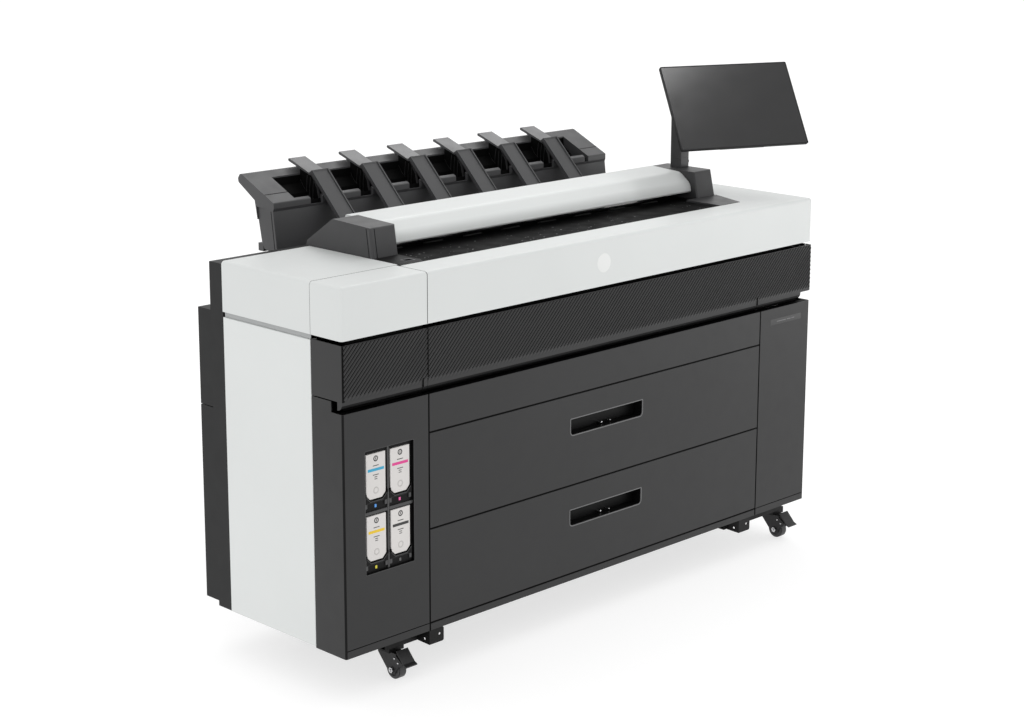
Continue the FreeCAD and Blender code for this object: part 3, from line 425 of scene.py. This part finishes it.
def turned_y(bm, x, y, z, profile, steps=32):
    """A turned button on an axis along Y. profile is (radius, y offset) in turn."""
    skinned(bm, [ring_of(bm, [(x + a, y + dy, z + b) for a, b in circle(r, steps)])
                 for r, dy in profile])


def turned_z(bm, path, steps):
    """A round bar or button through points (x, y, z, radius)."""
    skinned(bm, [ring_of(bm, [(x + a, y + b, z) for a, b in circle(r, steps)])
                 for x, y, z, r in path])


def framed(bm, outer, inner, z0, z1):
    """A flat plate with a hole. Both outlines have the same number of corners."""
    loops = [ring_of(bm, [(x, y, z) for x, y in points])
             for points, z in ((outer, z0), (outer, z1), (inner, z1), (inner, z0))]
    skinned(bm, loops + [loops[0]], caps=False)


# ---- textured band -------------------------------------------------------------------
PITCH = 12.67       # ridge spacing along X. The ridges lean at 45 degrees
RIDGE = 2.1         # ridge height
SKIN_PROUD = 0.02   # the skin's flats stand this far in front of the CAD face
SKIN_BACK = 1.0     # the skin's rim reaches this far behind it
WELD = 0.004        # points closer than this are one
# One ridge as (share of the pitch, share of the height).
WAVE = ((0.0, 0.0), (0.10, 0.06), (0.30, 0.80), (0.44, 1.0), (0.58, 0.80), (0.84, 0.06),
        (1.0, 0.0))
# Rows of faces up the band as (z, share of the ridge height), fading out over the lower lip.
ROWS = ((642.0, 0.0), (646.0, 0.15), (650.5, 0.5), (655.0, 0.85), (660.0, 1.0), (776.6, 1.0))
DARK_VALLEYS = 650.0    # above this height the valleys between ridges are near-black: painted shade


def clipped(polygon, limit, keep_above):
    """polygon, points (x, z), cut off where x passes limit."""
    kept = []
    for i, p in enumerate(polygon):
        q = polygon[(i + 1) % len(polygon)]
        inside_p = (p[0] >= limit) == keep_above
        inside_q = (q[0] >= limit) == keep_above
        if inside_p:
            kept.append(p)
        if inside_p != inside_q:
            t = (limit - p[0]) / (q[0] - p[0])
            kept.append((p[0] + t * (q[0] - p[0]), p[1] + t * (q[1] - p[1])))
    return kept


def ridged_skin(name, body, x0, x1):
    """The band's face from x0 to x1 with its diagonal ridges."""
    bm = bmesh.new()
    for (low, low_fade), (high, high_fade) in zip(ROWS, ROWS[1:]):
        first = math.floor((x0 - high) / PITCH)
        last = math.ceil((x1 - low) / PITCH)
        for k in range(first, last):
            for (a, ha), (b, hb) in zip(WAVE, WAVE[1:]):
                u0, u1 = (k + a) * PITCH, (k + b) * PITCH
                strip = [(u0 + low, low), (u1 + low, low), (u1 + high, high), (u0 + high, high)]
                strip = clipped(clipped(strip, x0, True), x1, False)
                if len(strip) < 3:
                    continue
                points = []
                for x, z in strip:
                    share = (x - z) / PITCH - k
                    t = min(1.0, max(0.0, (share - a) / (b - a)))
                    fade = low_fade if abs(z - low) < abs(z - high) else high_fade
                    points.append((x, -SKIN_PROUD - RIDGE * fade * (ha + (hb - ha) * t), z))
                face = bm.faces.new([bm.verts.new(p) for p in points])
                # Valleys high on the band take the near-black second material: painted shade in
                # the creases.
                valley = a == 0.0 or b == 1.0
                face.material_index = 1 if low > DARK_VALLEYS and valley else 0
    bmesh.ops.remove_doubles(bm, verts=bm.verts, dist=WELD)
    rim = [(*e.verts, e.link_faces[0].material_index) for e in bm.edges if e.is_boundary]
    behind = {}
    for a, b, _ in rim:
        for v in (a, b):
            if v not in behind:
                behind[v] = bm.verts.new((v.co.x, SKIN_BACK, v.co.z))
    for a, b, shade in rim:
        bm.faces.new((b, behind[b], behind[a], a)).material_index = shade
    bmesh.ops.recalc_face_normals(bm, faces=bm.faces)
    piece = finished(name, body, bm, looks["dark_band"], 50.0)
    piece.data.materials.append(seam_black)


left_band = span("band_side_panels")
door = span("front_door")
ridged_skin("band_ridges_left", "cabinet", left_band[0] + 4.5, door[0] - 2.0)
ridged_skin("band_ridges_door", "front_door", door[0] + 0.8, door[1] - 1.2)


# ---- drawer handles ------------------------------------------------------------------
HANDLE_X = (781.0, 1064.0)
HANDLE_HEIGHT = 44.0
HANDLE_RADII = (10.0, 10.0, 1.6, 1.6)       # lower left, lower right, upper right, upper left
LINER_RADII = (8.6, 8.6, 0.8, 0.8)
# The rim's section, (outward, y).
RIM = [(math.cos(math.radians(a)) * 1.5 + 0.9, 0.25 - math.sin(math.radians(a)) * 1.15)
       for a in range(0, 181, 20)] + [(-0.6, 1.2), (2.4, 1.2)]


def handle_outline(low, inside, radii):
    """Outline of a handle pocket whose bottom is at low, drawn in by inside."""
    return rounded_outline(HANDLE_X[0] + inside, HANDLE_X[1] - inside, low + inside,
                           low + HANDLE_HEIGHT - inside, radii)


for drawer, low in (("upper_drawer", 403.0), ("lower_drawer", 153.0)):
    bm = bmesh.new()
    swept(bm, handle_outline(low, 0.0, HANDLE_RADII), RIM)
    finished(drawer + "_handle_rim", drawer, bm, rim_grey, 50.0)
    bm = bmesh.new()
    for x, r in ((921.0, 3.4), (955.0, 2.2)):
        turned_y(bm, x, 18.6, low + 5.5, ((0.02, -1.2), (r * 0.55, -1.0), (r * 0.9, -0.4),
                                          (r, 0.5), (r, 12.9)))
    finished(drawer + "_latch_studs", drawer, bm, stud_steel, 40.0)
    # A near-black liner in the pocket: painted shade in the recess.
    bm = bmesh.new()
    outer = handle_outline(low, 0.15, LINER_RADII)
    inner = handle_outline(low, 1.1, LINER_RADII)
    skinned(bm, [ring_of(bm, [(x, y, z) for x, z in outline]) for outline, y in
                 ((inner, 31.5), (inner, 2.2), (outer, 1.4), (outer, 32.8))])
    finished(drawer + "_pocket_liner", drawer, bm, looks["bay_plastic"])


# ---- ink cartridges ------------------------------------------------------------------
# Sections, (outward, y), of the ring low on a cartridge and of its round mark.
RING = [(math.cos(math.radians(a)) * 1.7, 0.05 - math.sin(math.radians(a)) * 0.5)
        for a in range(0, 181, 30)] + [(-1.7, 0.4), (1.7, 0.4)]
ICON = [(-1.5, -0.15), (1.5, -0.15), (1.5, 0.3), (-1.5, 0.3)]


def ring_on(bm, x, z, radius, face, section):
    """A raised ring on a cartridge's face at depth face."""
    loop = [(x + a, z + b) for a, b in circle(radius, 30)]
    swept(bm, loop, [(u, face + y) for u, y in section])


def mark_on(bm, middle, z, half_width, half_height, face):
    """A small plain mark on a cartridge's face."""
    plate_into(bm, middle - half_width, middle + half_width, z - half_height, z + half_height,
               face - 0.15, face + 0.3, 0.1, 0.3, 2)


for colour in ("cyan", "magenta", "yellow", "black"):
    node, body = "ink_cartridge_" + colour, "cartridge_" + colour
    x0, x1, face, _, z0, z1 = span(node)
    middle = (x0 + x1) / 2
    bm = bmesh.new()
    plate_into(bm, x0 + 5.5, x1 - 5.0, z0 + 69.5, z0 + 76.5, face - 0.25, face + 0.4, 0.2, 0.4, 2)
    finished(node + "_stripe", body, bm, inks[colour])
    bm = bmesh.new()
    ring_on(bm, middle, z0 + 100.5, 5.9, face, ICON)
    mark_on(bm, middle, z0 + 100.5, 1.3, 3.0, face)
    for rise, half in ((83.0, 9.5), (60.0, 9.5), (54.5, 4.5), (49.5, 4.5)):
        mark_on(bm, middle, z0 + rise, half, 1.0, face)
    finished(node + "_plain_marks", body, bm, print_grey)
    bm = bmesh.new()
    ring_on(bm, middle, z0 + 21.0, 7.2, face, RING)
    finished(node + "_ring", body, bm, ring_grey, 60.0)
    bm = bmesh.new()
    plate_into(bm, middle - 3.0, middle + 3.0, z0 - 22.5, z0 - 14.5, 7.3, 8.4, 0.3, 1.2)
    finished("ink_tag_" + colour, "cabinet", bm, tags[colour])


# ---- ink bay -------------------------------------------------------------------------
BAY_PLACES = [(x, z) for x in (75.0, 153.0) for z in (227.5, 383.0)]    # cartridges' corners
WINDOW = (68.0, 224.5, 197.5, 507.5)        # x0, x1, z0, z1 of the window in the left cover
LIP_LINE = [(-4.6, 15.0), (-1.8, 8.6), (11.6, -4.2), (50.4, -4.2), (63.8, 8.6), (66.6, 15.0)]
LIP_THICKNESS = 1.7

# The latch lips in a lighter grey: painted highlight along their edges. The ears are near-black.
bm, ears = bmesh.new(), bmesh.new()
for x, z in BAY_PLACES:
    line = [(x + dx, z + dz) for dx, dz in LIP_LINE]
    prism_y(bm, line + [(px, pz - LIP_THICKNESS) for px, pz in reversed(line)], 3.2, 4.6)
    prism_y(bm, [(x + 2.0, z - 9.6), (x + 60.0, z - 9.6), (x + 60.0, z - 8.2),
                 (x + 2.0, z - 8.2)], 6.6, 8.1)
    for a, b in ((-5.2, -0.4), (62.4, 67.2)):
        plate_into(ears, x + a, x + b, z + 8.4, z + 17.0, 2.6, 4.9, 0.8, 1.0, 3)
finished("ink_latch_lips", "cabinet", bm, rib_highlight_grey)
finished("ink_latch_ears", "cabinet", ears, seam_black)

wx0, wx1, wz0, wz1 = WINDOW
# The bay's ribs in a lighter grey: painted highlight.
bm = bmesh.new()
for x0, x1, z0, z1 in ((142.2, 147.8, wz0 + 0.2, wz1 - 0.2), (wx0 + 0.2, 142.0, 345.0, 353.0),
                       (148.0, wx1 - 0.2, 345.0, 353.0)):
    plate_into(bm, x0, x1, z0, z1, 4.6, 8.1, 1.4, 1.5)
for x, z in BAY_PLACES:
    for a, b in ((-4.6, 3.0), (59.0, 66.6)):
        plate_into(bm, x + a, x + b, z - 21.0, z - 9.0, 4.9, 8.1, 1.2, 1.2)
finished("ink_bay_ribs", "cabinet", bm, rib_highlight_grey)
# The window's rim in the same lighter grey: painted highlight along its edge.
bm = bmesh.new()
swept(bm, rounded_outline(wx0 - 0.1, wx1 + 0.1, wz0 - 0.1, wz1 + 0.1, (2.6,) * 4),
      [(0.0, 0.1), (0.9, -0.25), (1.5, 0.1), (1.5, 0.8), (0.0, 0.8)])
finished("ink_window_rim", "cabinet", bm, rib_highlight_grey, 50.0)


# ---- panel seams ---------------------------------------------------------------------
WIDTH = 1800.0
SHADE_FRONT, SHADE_BACK = 1.6, 12.0       # depths of the near-black strips inside the seams: painted shade
DOOR_LEFT = 273.0                       # the joint between the left covers and the door
DOOR_SPLIT = 1554.0                     # the line low down near the door's right end


def top_seam_shade(bm, x0, x1, top):
    """A near-black strip inside the seam over a panel whose upper edge is at top: painted shade.
    """
    strip_box(bm, x0 + 0.5, x1 - 0.5, SHADE_FRONT, SHADE_BACK, top - 0.6, top + 4.6)


# Near-black strips inside the seams over the drawer fronts: painted shade in the gaps.
for node, body in (("upper_drawer_front", "upper_drawer"),
                   ("lower_drawer_front", "lower_drawer")):
    x0, x1, _, _, _, top = span(node)
    bm = bmesh.new()
    top_seam_shade(bm, x0, x1, top)
    finished(node + "_top_seam_shade", body, bm, seam_black)

# Painted shade too: near-black strips in the seam over the skirt, down both sides of the fixed
# panel, and in the grooves low on the front covers.
x0, x1, _, _, _, top = span("fixed_front_panel")
bm = bmesh.new()
top_seam_shade(bm, x0, x1, span("front_skirt")[5])
for a, b in ((x0 - 4.8, x0 - 0.2), (x1 + 0.2, x1 + 4.8)):
    strip_box(bm, a, b, SHADE_FRONT, SHADE_BACK, 0.6, top - 0.6)
for a, b in ((4.2, 272.6), (1573.9, 1795.8)):
    strip_box(bm, a, b, 0.5, 1.8, 18.4, 21.6, 0.1)
finished("cabinet_seam_shade", "cabinet", bm, seam_black)
# A near-black strip down the band's rounded front left corner: painted shade.
bm = bmesh.new()
strip_box(bm, 0.6, 7.6, -0.35, 0.8, 641.4, 777.8)
finished("band_corner_shade", "cabinet", bm, seam_black)


def corner_skin(name, x, inward, radius, z0, z1):
    """A near-black skin on a cover's rounded front corner: painted shade. x is its outer side, and
    inward is 1 on the left and -1 on the right."""
    bm = bmesh.new()
    cx = x + inward * radius
    outline = []
    for r, turns in ((radius + 0.12, range(-6, 97, 6)), (radius - 0.5, range(96, -7, -6))):
        outline += [(cx - inward * r * math.cos(math.radians(a)),
                     radius - r * math.sin(math.radians(a))) for a in turns]
    prism_z(bm, outline, z0, z1)
    finished(name, "cabinet", bm, edge_dark, 50.0)


corner_skin("left_cover_corner", 0.12, 1, 4.0, 0.6, 611.0)
corner_skin("right_cover_corner", WIDTH - 0.12, -1, 4.0, 0.6, 611.0)


def lip_skins(part, profile, material):
    """Near-black skins over the curled lip, on the cabinet's piece and on the door's: painted
    shade where the curl turns down.
    """
    outline = [(y - 0.28, z - 0.16) for y, z in profile]
    outline += [(y + 0.4, z + 0.5) for y, z in reversed(profile)]
    for name, body, x0, x1 in (("left_a", "cabinet", 0.5, 255.8),
                               ("left_b", "cabinet", 258.2, 272.2),
                               ("door_a", "front_door", 273.8, 1552.8),
                               ("door_b", "front_door", 1555.2, 1756.8)):
        bm = bmesh.new()
        prism_x(bm, outline, x0, x1)
        finished("band_lip_" + part + "_" + name, body, bm, material, 60.0)


lip_skins("upper", [(1.2, 632.6), (2.9, 629.7), (4.8, 626.3)], edge_dark)
lip_skins("lower", [(5.0, 626.0), (11.0, 621.5), (17.6, 620.1)], seam_black)
# A near-black strip along the tops of the lower covers, under the band: painted shade.
bm = bmesh.new()
for x0, x1 in ((3.5, 272.5), (278.6, 1567.9), (1574.0, 1796.5)):
    prism_x(bm, [(2.2, 611.3), (19.6, 611.3), (19.6, 611.75), (2.2, 611.75)], x0, x1)
finished("lower_front_top_shade", "cabinet", bm, seam_black)
bm = bmesh.new()
strip_box(bm, 255.7, 258.3, -1.9, 0.8, 634.0, 656.0)
strip_box(bm, DOOR_LEFT - 1.5, DOOR_LEFT + 1.1, -2.25, 0.5, 656.0, 777.6)
finished("band_left_lines", "cabinet", bm, seam_black)
bm = bmesh.new()
strip_box(bm, DOOR_SPLIT - 1.3, DOOR_SPLIT + 1.3, -1.9, 0.8, 634.0, 656.0)
finished("band_door_slit", "front_door", bm, seam_black)


# ---- badge and label plate -----------------------------------------------------------
bm = bmesh.new()
turned_y(bm, 902.5, 0.0, 849.5, ((24.0, -0.45), (25.2, -0.35), (25.8, 0.0), (25.8, 0.8)), 64)
finished("deck_round_badge", "cabinet", bm, badge_white, 50.0)
bm = bmesh.new()
plate_into(bm, 1617.0, 1762.0, 562.5, 579.5, -0.35, 0.6, 0.4, 2.0)
finished("front_label_plate", "cabinet", bm, plate_grey)
bm = bmesh.new()
for a, b in ((1648.0, 1690.0), (1694.0, 1712.0), (1716.0, 1730.0)):
    plate_into(bm, a, b, 569.8, 572.2, -0.5, 0.2, 0.1, 0.4, 2)
finished("front_label_marks", "cabinet", bm, rim_grey)


# ---- deck ----------------------------------------------------------------------------
DECK_ROUND = 9.0                        # radius of the white deck's upper edges
DECK_TOP = 916.0
DECK_EDGE = DECK_TOP - DECK_ROUND       # height at which that rounding starts
DECK_FOOT = 789.0                       # lower end of the joints down the deck's sides
TOP_PROUD = 0.12                        # a joint strip stands this far over the deck

# Grey strips in the gaps under the deck, darker than the white they stand for: painted shade.
for side, x0, x1 in (("left", 4.6, 6.2), ("right", 1793.8, 1795.4)):
    bm = bmesh.new()
    prism_x(bm, [(116.5, 775.0), (448.5, 775.0), (448.5, 793.0), (116.5, 793.0)], x0, x1)
    finished("deck_gap_shade_strip_" + side, "cabinet", bm, gap_shade_grey)


def seam_strip(bm, along_x, middle, half, far, recess):
    """A dark strip down a joint in the white deck, half its width to each side of middle: up
    one face at depth recess, round the edge, and over the top as far as far."""
    path = [(recess, DECK_FOOT, 1.6, 0.0), (recess, DECK_EDGE, 1.6, 0.0)]
    for degrees in range(15, 91, 15):
        a = math.radians(degrees)
        path.append((DECK_ROUND - (DECK_ROUND - recess) * math.cos(a),
                     DECK_EDGE + (DECK_ROUND + TOP_PROUD) * math.sin(a), 0.8, 1.4))
    path.append((far, DECK_TOP + TOP_PROUD, 0.0, 1.6))
    rings = []
    for across, z, deeper, lower in path:
        corners = [(middle - half, across, z), (middle + half, across, z),
                   (middle + half, across + deeper, z - lower),
                   (middle - half, across + deeper, z - lower)]
        if along_x:
            corners = [(b, a, c) for a, b, c in corners]
        rings.append(ring_of(bm, corners))
    skinned(bm, rings)


bm = bmesh.new()
seam_strip(bm, False, DOOR_LEFT, 0.9, 98.0, -TOP_PROUD)
seam_strip(bm, True, 113.0, 0.9, 281.0, 0.3)
finished("deck_joint_strips", "cabinet", bm, seam_black)

# A cap of a ball over the deck's front left corner, round the axis away.
away = Vector((-1.0, -1.0, 1.0)).normalized()
sideways = away.cross(Vector((0.0, 0.0, 1.0))).normalized()
upwards = sideways.cross(away)
bm = bmesh.new()
rings = []
for degrees, radius in ((30, 8.4), (30, 8.95), (27, 9.05), (20, 9.06), (13, 9.06), (6, 9.06),
                        (1, 9.06)):
    turn = math.radians(degrees)
    ring = []
    for a, b in circle(1.0, 24):
        spoke = sideways * a + upwards * b
        spot = (Vector((DECK_ROUND, DECK_ROUND, DECK_EDGE))
                + (away * math.cos(turn) + spoke * math.sin(turn)) * radius)
        ring.append(tuple(spot))
    rings.append(ring_of(bm, ring))
skinned(bm, rings)
finished("deck_corner_nose", "cabinet", bm, looks["white_cover"], 60.0)

FOOT_HOLE = [(321.6, 127.6), (346.4, 127.6), (346.4, 136.0), (346.4, 146.4), (321.6, 146.4)]
FOOT_PLATE = [(283.0, 103.4), (351.5, 103.4), (365.2, 128.3), (365.2, 205.8), (283.0, 205.8)]
HOLE_RIM = [(318.6, 124.6), (349.4, 124.6), (349.4, 136.0), (349.4, 149.4), (318.6, 149.4)]
for name, outline, z0, z1, material in (
        ("left_foot_skin", FOOT_PLATE, 916.4, 916.9, edge_dark),
        ("left_foot_slot_rim", HOLE_RIM, 916.6, 917.6, cap_grey)):
    bm = bmesh.new()
    framed(bm, outline, FOOT_HOLE, z0, z1)
    finished(name, "cabinet", bm, material)
bm = bmesh.new()
prism_z(bm, [(322.3, 128.3), (345.7, 128.3), (345.7, 145.7), (322.3, 145.7)], 911.8, 912.3)
finished("left_foot_slot_floor", "cabinet", bm, seam_black)


# ---- stacker -------------------------------------------------------------------------
ARMS_X = [451.4 + 177.1 * i for i in range(6)]      # left sides of the six arms
# Outline in Y and Z of the guides behind the arms.
GUIDE = [(655, 1052.6), (662, 1055.2), (704, 1071), (703.5, 1041), (689.6, 1022),
         (674.6, 1009.5), (664.9, 960), (655, 914), (641.4, 909), (629.4, 940), (627.4, 985),
         (635.2, 1024)]
GUIDE_LEFT, GUIDE_RIGHT = 7.55, 49.75       # the two sides of a guide, from its arm's left
GUIDE_SKIN = 0.4

# A near-black sheet inside the stacker's trough, darker than its plastic: painted shade.
bm = bmesh.new()
outer = [(610.6, 1001.0), (593.9, 876.3), (649.3, 888.2), (675.6, 1008.0), (704.6, 1029.6),
         (704.6, 1052.0)]
inner = [(611.8, 1001.0), (595.2, 877.8), (648.3, 889.2), (674.6, 1008.6), (703.4, 1030.2),
         (703.4, 1052.0)]
prism_x(bm, outer + list(reversed(inner)), 362.4, 1484.6)
finished("stacker_trough_shade", "cabinet", bm, seam_black)


def guide_arc(lean, start, stop):
    """Outline in Y and Z of a thin bowed rib on a guide's side."""
    arc = []
    for k in range(9):
        t = k / 8
        arc.append((640.5 + lean + 7.0 * math.sin(math.pi * t) + 6.0 * t,
                    start + (stop - start) * t))
    return [(y - 0.8, z) for y, z in arc] + [(y + 0.8, z) for y, z in reversed(arc)]


# Near-black skins on the guides' sides: painted shade inside the trough. Their ribs are a dark
# grey: painted shade with a painted highlight.
bm, arcs = bmesh.new(), bmesh.new()
for arm in ARMS_X:
    x = arm + GUIDE_LEFT
    prism_x(bm, GUIDE, x, x + GUIDE_SKIN)
    for lean, start, stop in ((0.0, 930.0, 1044.0), (13.0, 946.0, 1050.0), (26.0, 960.0, 1054.0)):
        prism_x(arcs, guide_arc(lean, start, stop), x - 0.9, x + 0.1)
finished("stacker_guide_skins_0", "cabinet", bm, seam_black)
finished("stacker_guide_arcs", "cabinet", arcs, arc_grey)
# More near-black skins, on the guides' other sides: painted shade.
bm = bmesh.new()
for arm in ARMS_X:
    x = arm + GUIDE_RIGHT
    prism_x(bm, GUIDE, x, x + GUIDE_SKIN)
finished("stacker_guide_skins_1", "cabinet", bm, seam_black)

for name, outline, start, stop, material in (
        # The arms' top plates in a lighter grey: painted sheen on their upward faces.
        ("stacker_arm_top_sheen", [(660.0, 1063.7), (741.4, 1092.9), (741.3, 1093.3),
                              (659.9, 1064.1)], 0.8, 56.9, arm_top_sheen_grey),
        # The tabs' tops in a grey lighter than the stacker: painted light on their lit tops.
        ("stacker_tab_tops", [(602.6, 1006.2), (610.6, 1009.6), (610.5, 1010.0),
                              (602.4, 1006.7)], 59.0, 129.0, cap_grey),
        # The tabs' back edges in a light grey: painted highlight.
        ("stacker_tab_highlights", [(608.4, 1009.2), (610.5, 1010.1), (610.4, 1010.5),
                               (608.3, 1009.6)], 62.0, 108.0, tab_highlight_grey)):
    bm = bmesh.new()
    for arm in ARMS_X:
        prism_x(bm, outline, arm + start, arm + stop)
    finished(name, "cabinet", bm, material)

bm = bmesh.new()
leaning_bar(bm, 284.75, 285.6, 0.0, 2.2, ((596.6, 870.5), (611.2, 984.0)))
finished("stacker_end_groove", "cabinet", bm, seam_black)
bm = bmesh.new()
for x0, x1 in ((285.3, 361.8), (1485.4, 1560.7)):
    prism_x(bm, [(637.4, 1024.6), (638.0, 1023.0), (639.4, 1023.6), (638.8, 1025.3)], x0, x1)
finished("stacker_end_seams", "cabinet", bm, seam_black)


# ---- scanner -------------------------------------------------------------------------
# The cap's rounded corner bead in a lighter grey than the cap: painted highlight down the corner.
bm = bmesh.new()
turned_z(bm, [(289.0, 213.9, 917.0, 6.9), (289.0, 225.3, 986.5, 6.9)], 24)
finished("left_cap_corner_bead", "cabinet", bm, cap_grey, 60.0)
bm = bmesh.new()
leaning_bar(bm, 295.4, 297.4, -0.25, 1.2, ((207.3, 917.4), (218.7, 989.5)))
leaning_bar(bm, 281.95, 283.2, 0.0, 2.0, ((220.6, 917.4), (231.6, 989.5)))
finished("left_cap_corner_grooves", "cabinet", bm, seam_black)


def shares(seed):
    """An endless run of numbers in 0..1, the same on every run."""
    modulus = 2147483648
    while True:
        seed = (seed * 1103515245 + 12345) % modulus
        yield seed / modulus


# Light grey specks on the black bed, more of them towards the front: painted reflections.
DOTS = 130
BED_X, BED_Y = (392, 1130), (106, 130)      # start and length of the dotted part of the bed
bm = bmesh.new()
drawn = shares(7)
for _ in range(DOTS):
    u, v, w = next(drawn), next(drawn), next(drawn)
    x, y, r = BED_X[0] + BED_X[1] * u, BED_Y[0] + BED_Y[1] * v ** 1.3, 1.0 + 2.2 * w * w
    turned_z(bm, [(x, y, 910.8, r), (x, y, 911.1, r), (x, y, 911.35, r * 0.5)], 8)
finished("scan_bed_reflection_specks", "cabinet", bm, speck_grey, 60.0)


# ---- rear ----------------------------------------------------------------------------
# The turned heads below are (radius, offset along the axis) in turn.
SCREW = ((1.5, 0.3), (1.5, 1.1), (3.2, 1.2), (4.2, 0.7), (4.5, -0.5))
rear_y = span("rear_service_covers")[3]
bm = bmesh.new()
for z in (23.0, 512.0, 542.0, 766.0):
    for i in range(7):
        turned_y(bm, 30.0 + 290.0 * i, rear_y, z, SCREW, 20)
finished("rear_cover_screws", "cabinet", bm, cap_grey)
bm = bmesh.new()
plate_into(bm, 1478.0, 1588.0, 44.0, 112.0, rear_y + 0.5, rear_y - 0.2, 0.2, 3, 4)
finished("rear_blank_plate", "cabinet", bm, rating_plate)


# ---- casters -------------------------------------------------------------------------
RIVET = ((0.4, -18.35), (1.7, -18.1), (2.6, -17.3), (3.0, -16.05), (3.0, -15.6))
NUT = ((3.6, -21.4), (6.4, -21.4), (7.9, -20.9), (8.0, -16.1))
AXLE_END = ((0.5, -24.3), (3.0, -24.2), (4.05, -23.6), (4.05, -21.3))

for tag in ("front_left", "front_right", "rear_left", "rear_right"):
    wheel = span("caster_" + tag + "_wheel")
    x = (wheel[0] + wheel[1]) / 2
    axle_y, axle_z = (wheel[2] + wheel[3]) / 2, (wheel[4] + wheel[5]) / 2
    bm = bmesh.new()
    for dy, dz in ((-10.0, 33.0), (-23.0, 24.0)):
        turned_x(bm, x, axle_y + dy, axle_z + dz, RIVET)
    finished("caster_" + tag + "_rivets", "caster_" + tag, bm, stud_steel, 50.0)
    bm = bmesh.new()
    turned_x(bm, x, axle_y, axle_z, NUT, 6)
    turned_x(bm, x, axle_y, axle_z, AXLE_END)
    finished("caster_" + tag + "_axle_nut", "caster_" + tag, bm, stud_steel, 40.0)


# ---- room, light and camera ----------------------------------------------------------
FLOOR_HALF, FLOOR_DROP = 60.0, 0.0005       # metres


def stage_floor():
    """A pale floor with a slow drift of tone."""
    material, nodes, links, shader, place = new_material("studio_floor")
    drift = noise(nodes, links, place, 0.6)
    links.new(mixed(nodes, links, drift, (0.36, 0.36, 0.36), (0.39, 0.39, 0.39)),
              shader.inputs["Base Color"])
    shader.inputs["Roughness"].default_value = 0.9
    shader.inputs["Emission Color"].default_value = (1.0, 1.0, 1.0, 1.0)
    shader.inputs["Emission Strength"].default_value = 0.69
    bm = bmesh.new()
    bm.faces.new([bm.verts.new((x * FLOOR_HALF, y * FLOOR_HALF, -FLOOR_DROP))
                  for x, y in ((-1, -1), (1, -1), (1, 1), (-1, 1))])
    mesh = bpy.data.meshes.new("studio_floor")
    bm.to_mesh(mesh)
    bm.free()
    mesh.materials.append(material)
    floor = bpy.data.objects.new("studio_floor", mesh)
    bpy.context.scene.collection.objects.link(floor)
    floor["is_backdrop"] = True


def soft_light(name, place, target, size, power, cone=180.0):
    """A rectangular light at place, turned to target. cone is its spread in degrees."""
    data = bpy.data.lights.new(name, "AREA")
    data.shape = "RECTANGLE"
    data.size, data.size_y = size
    data.energy = power
    data.spread = math.radians(cone)
    lamp = bpy.data.objects.new(name, data)
    lamp.location = place
    lamp.rotation_mode = "QUATERNION"
    lamp.rotation_quaternion = (Vector(target) - Vector(place)).to_track_quat("-Z", "Y")
    bpy.context.scene.collection.objects.link(lamp)


def studio():
    """An even white surround and the lamps."""
    world = bpy.data.worlds.new("studio")
    bpy.context.scene.world = world
    world.use_nodes = True
    background = world.node_tree.nodes["Background"]
    background.inputs["Color"].default_value = (1.0, 1.0, 1.0, 1.0)
    background.inputs["Strength"].default_value = 1.0
    soft_light("key", (-5.5, -2.2, 3.2), (0, 0, 0.7), (3.0, 3.0), 24.0)
    soft_light("top", (0.4, 0.9, 4.6), (0, 0.1, 0.9), (4.0, 2.5), 18.0)
    soft_light("back_right", (2.3, 2.0, 3.5), (0.0, 0.25, 1.15), (1.6, 1.2), 13.0)
    soft_light("right_fill", (4.4, -3.0, 0.5), (0.6, -0.3, 0.5), (1.8, 0.8), 14.5)
    soft_light("screen_glow", (1.18, -1.95, 4.22), (0.6, -0.2, 1.35), (0.8, 0.55), 0.75, 40.0)
    bpy.context.scene.view_settings.view_transform = "Standard"


def camera():
    """The camera at the photograph's viewing angle, with its angles in radians."""
    data = bpy.data.cameras.new("camera")
    data.lens, data.sensor_width, data.shift_y = 72.58, 36.0, -0.06
    holder = bpy.data.objects.new("camera", data)
    azimuth, pitch, roll = -0.78563, 0.21771, 0.00242
    forward = Vector((-math.sin(azimuth) * math.cos(pitch), math.cos(azimuth) * math.cos(pitch),
                      -math.sin(pitch)))
    right = Vector((math.cos(azimuth), math.sin(azimuth), 0.0))
    up = right.cross(forward)
    turned_right = right * math.cos(roll) + up * math.sin(roll)
    turned_up = up * math.cos(roll) - right * math.sin(roll)
    turn = Matrix((turned_right, turned_up, -forward)).transposed()
    holder.rotation_mode = "QUATERNION"
    holder.rotation_quaternion = turn.to_quaternion()
    holder.location = (-3.92033, -3.94091, 2.04621)
    bpy.context.scene.collection.objects.link(holder)
    bpy.context.scene.camera = holder


stage_floor()
studio()
camera()

low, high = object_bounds()
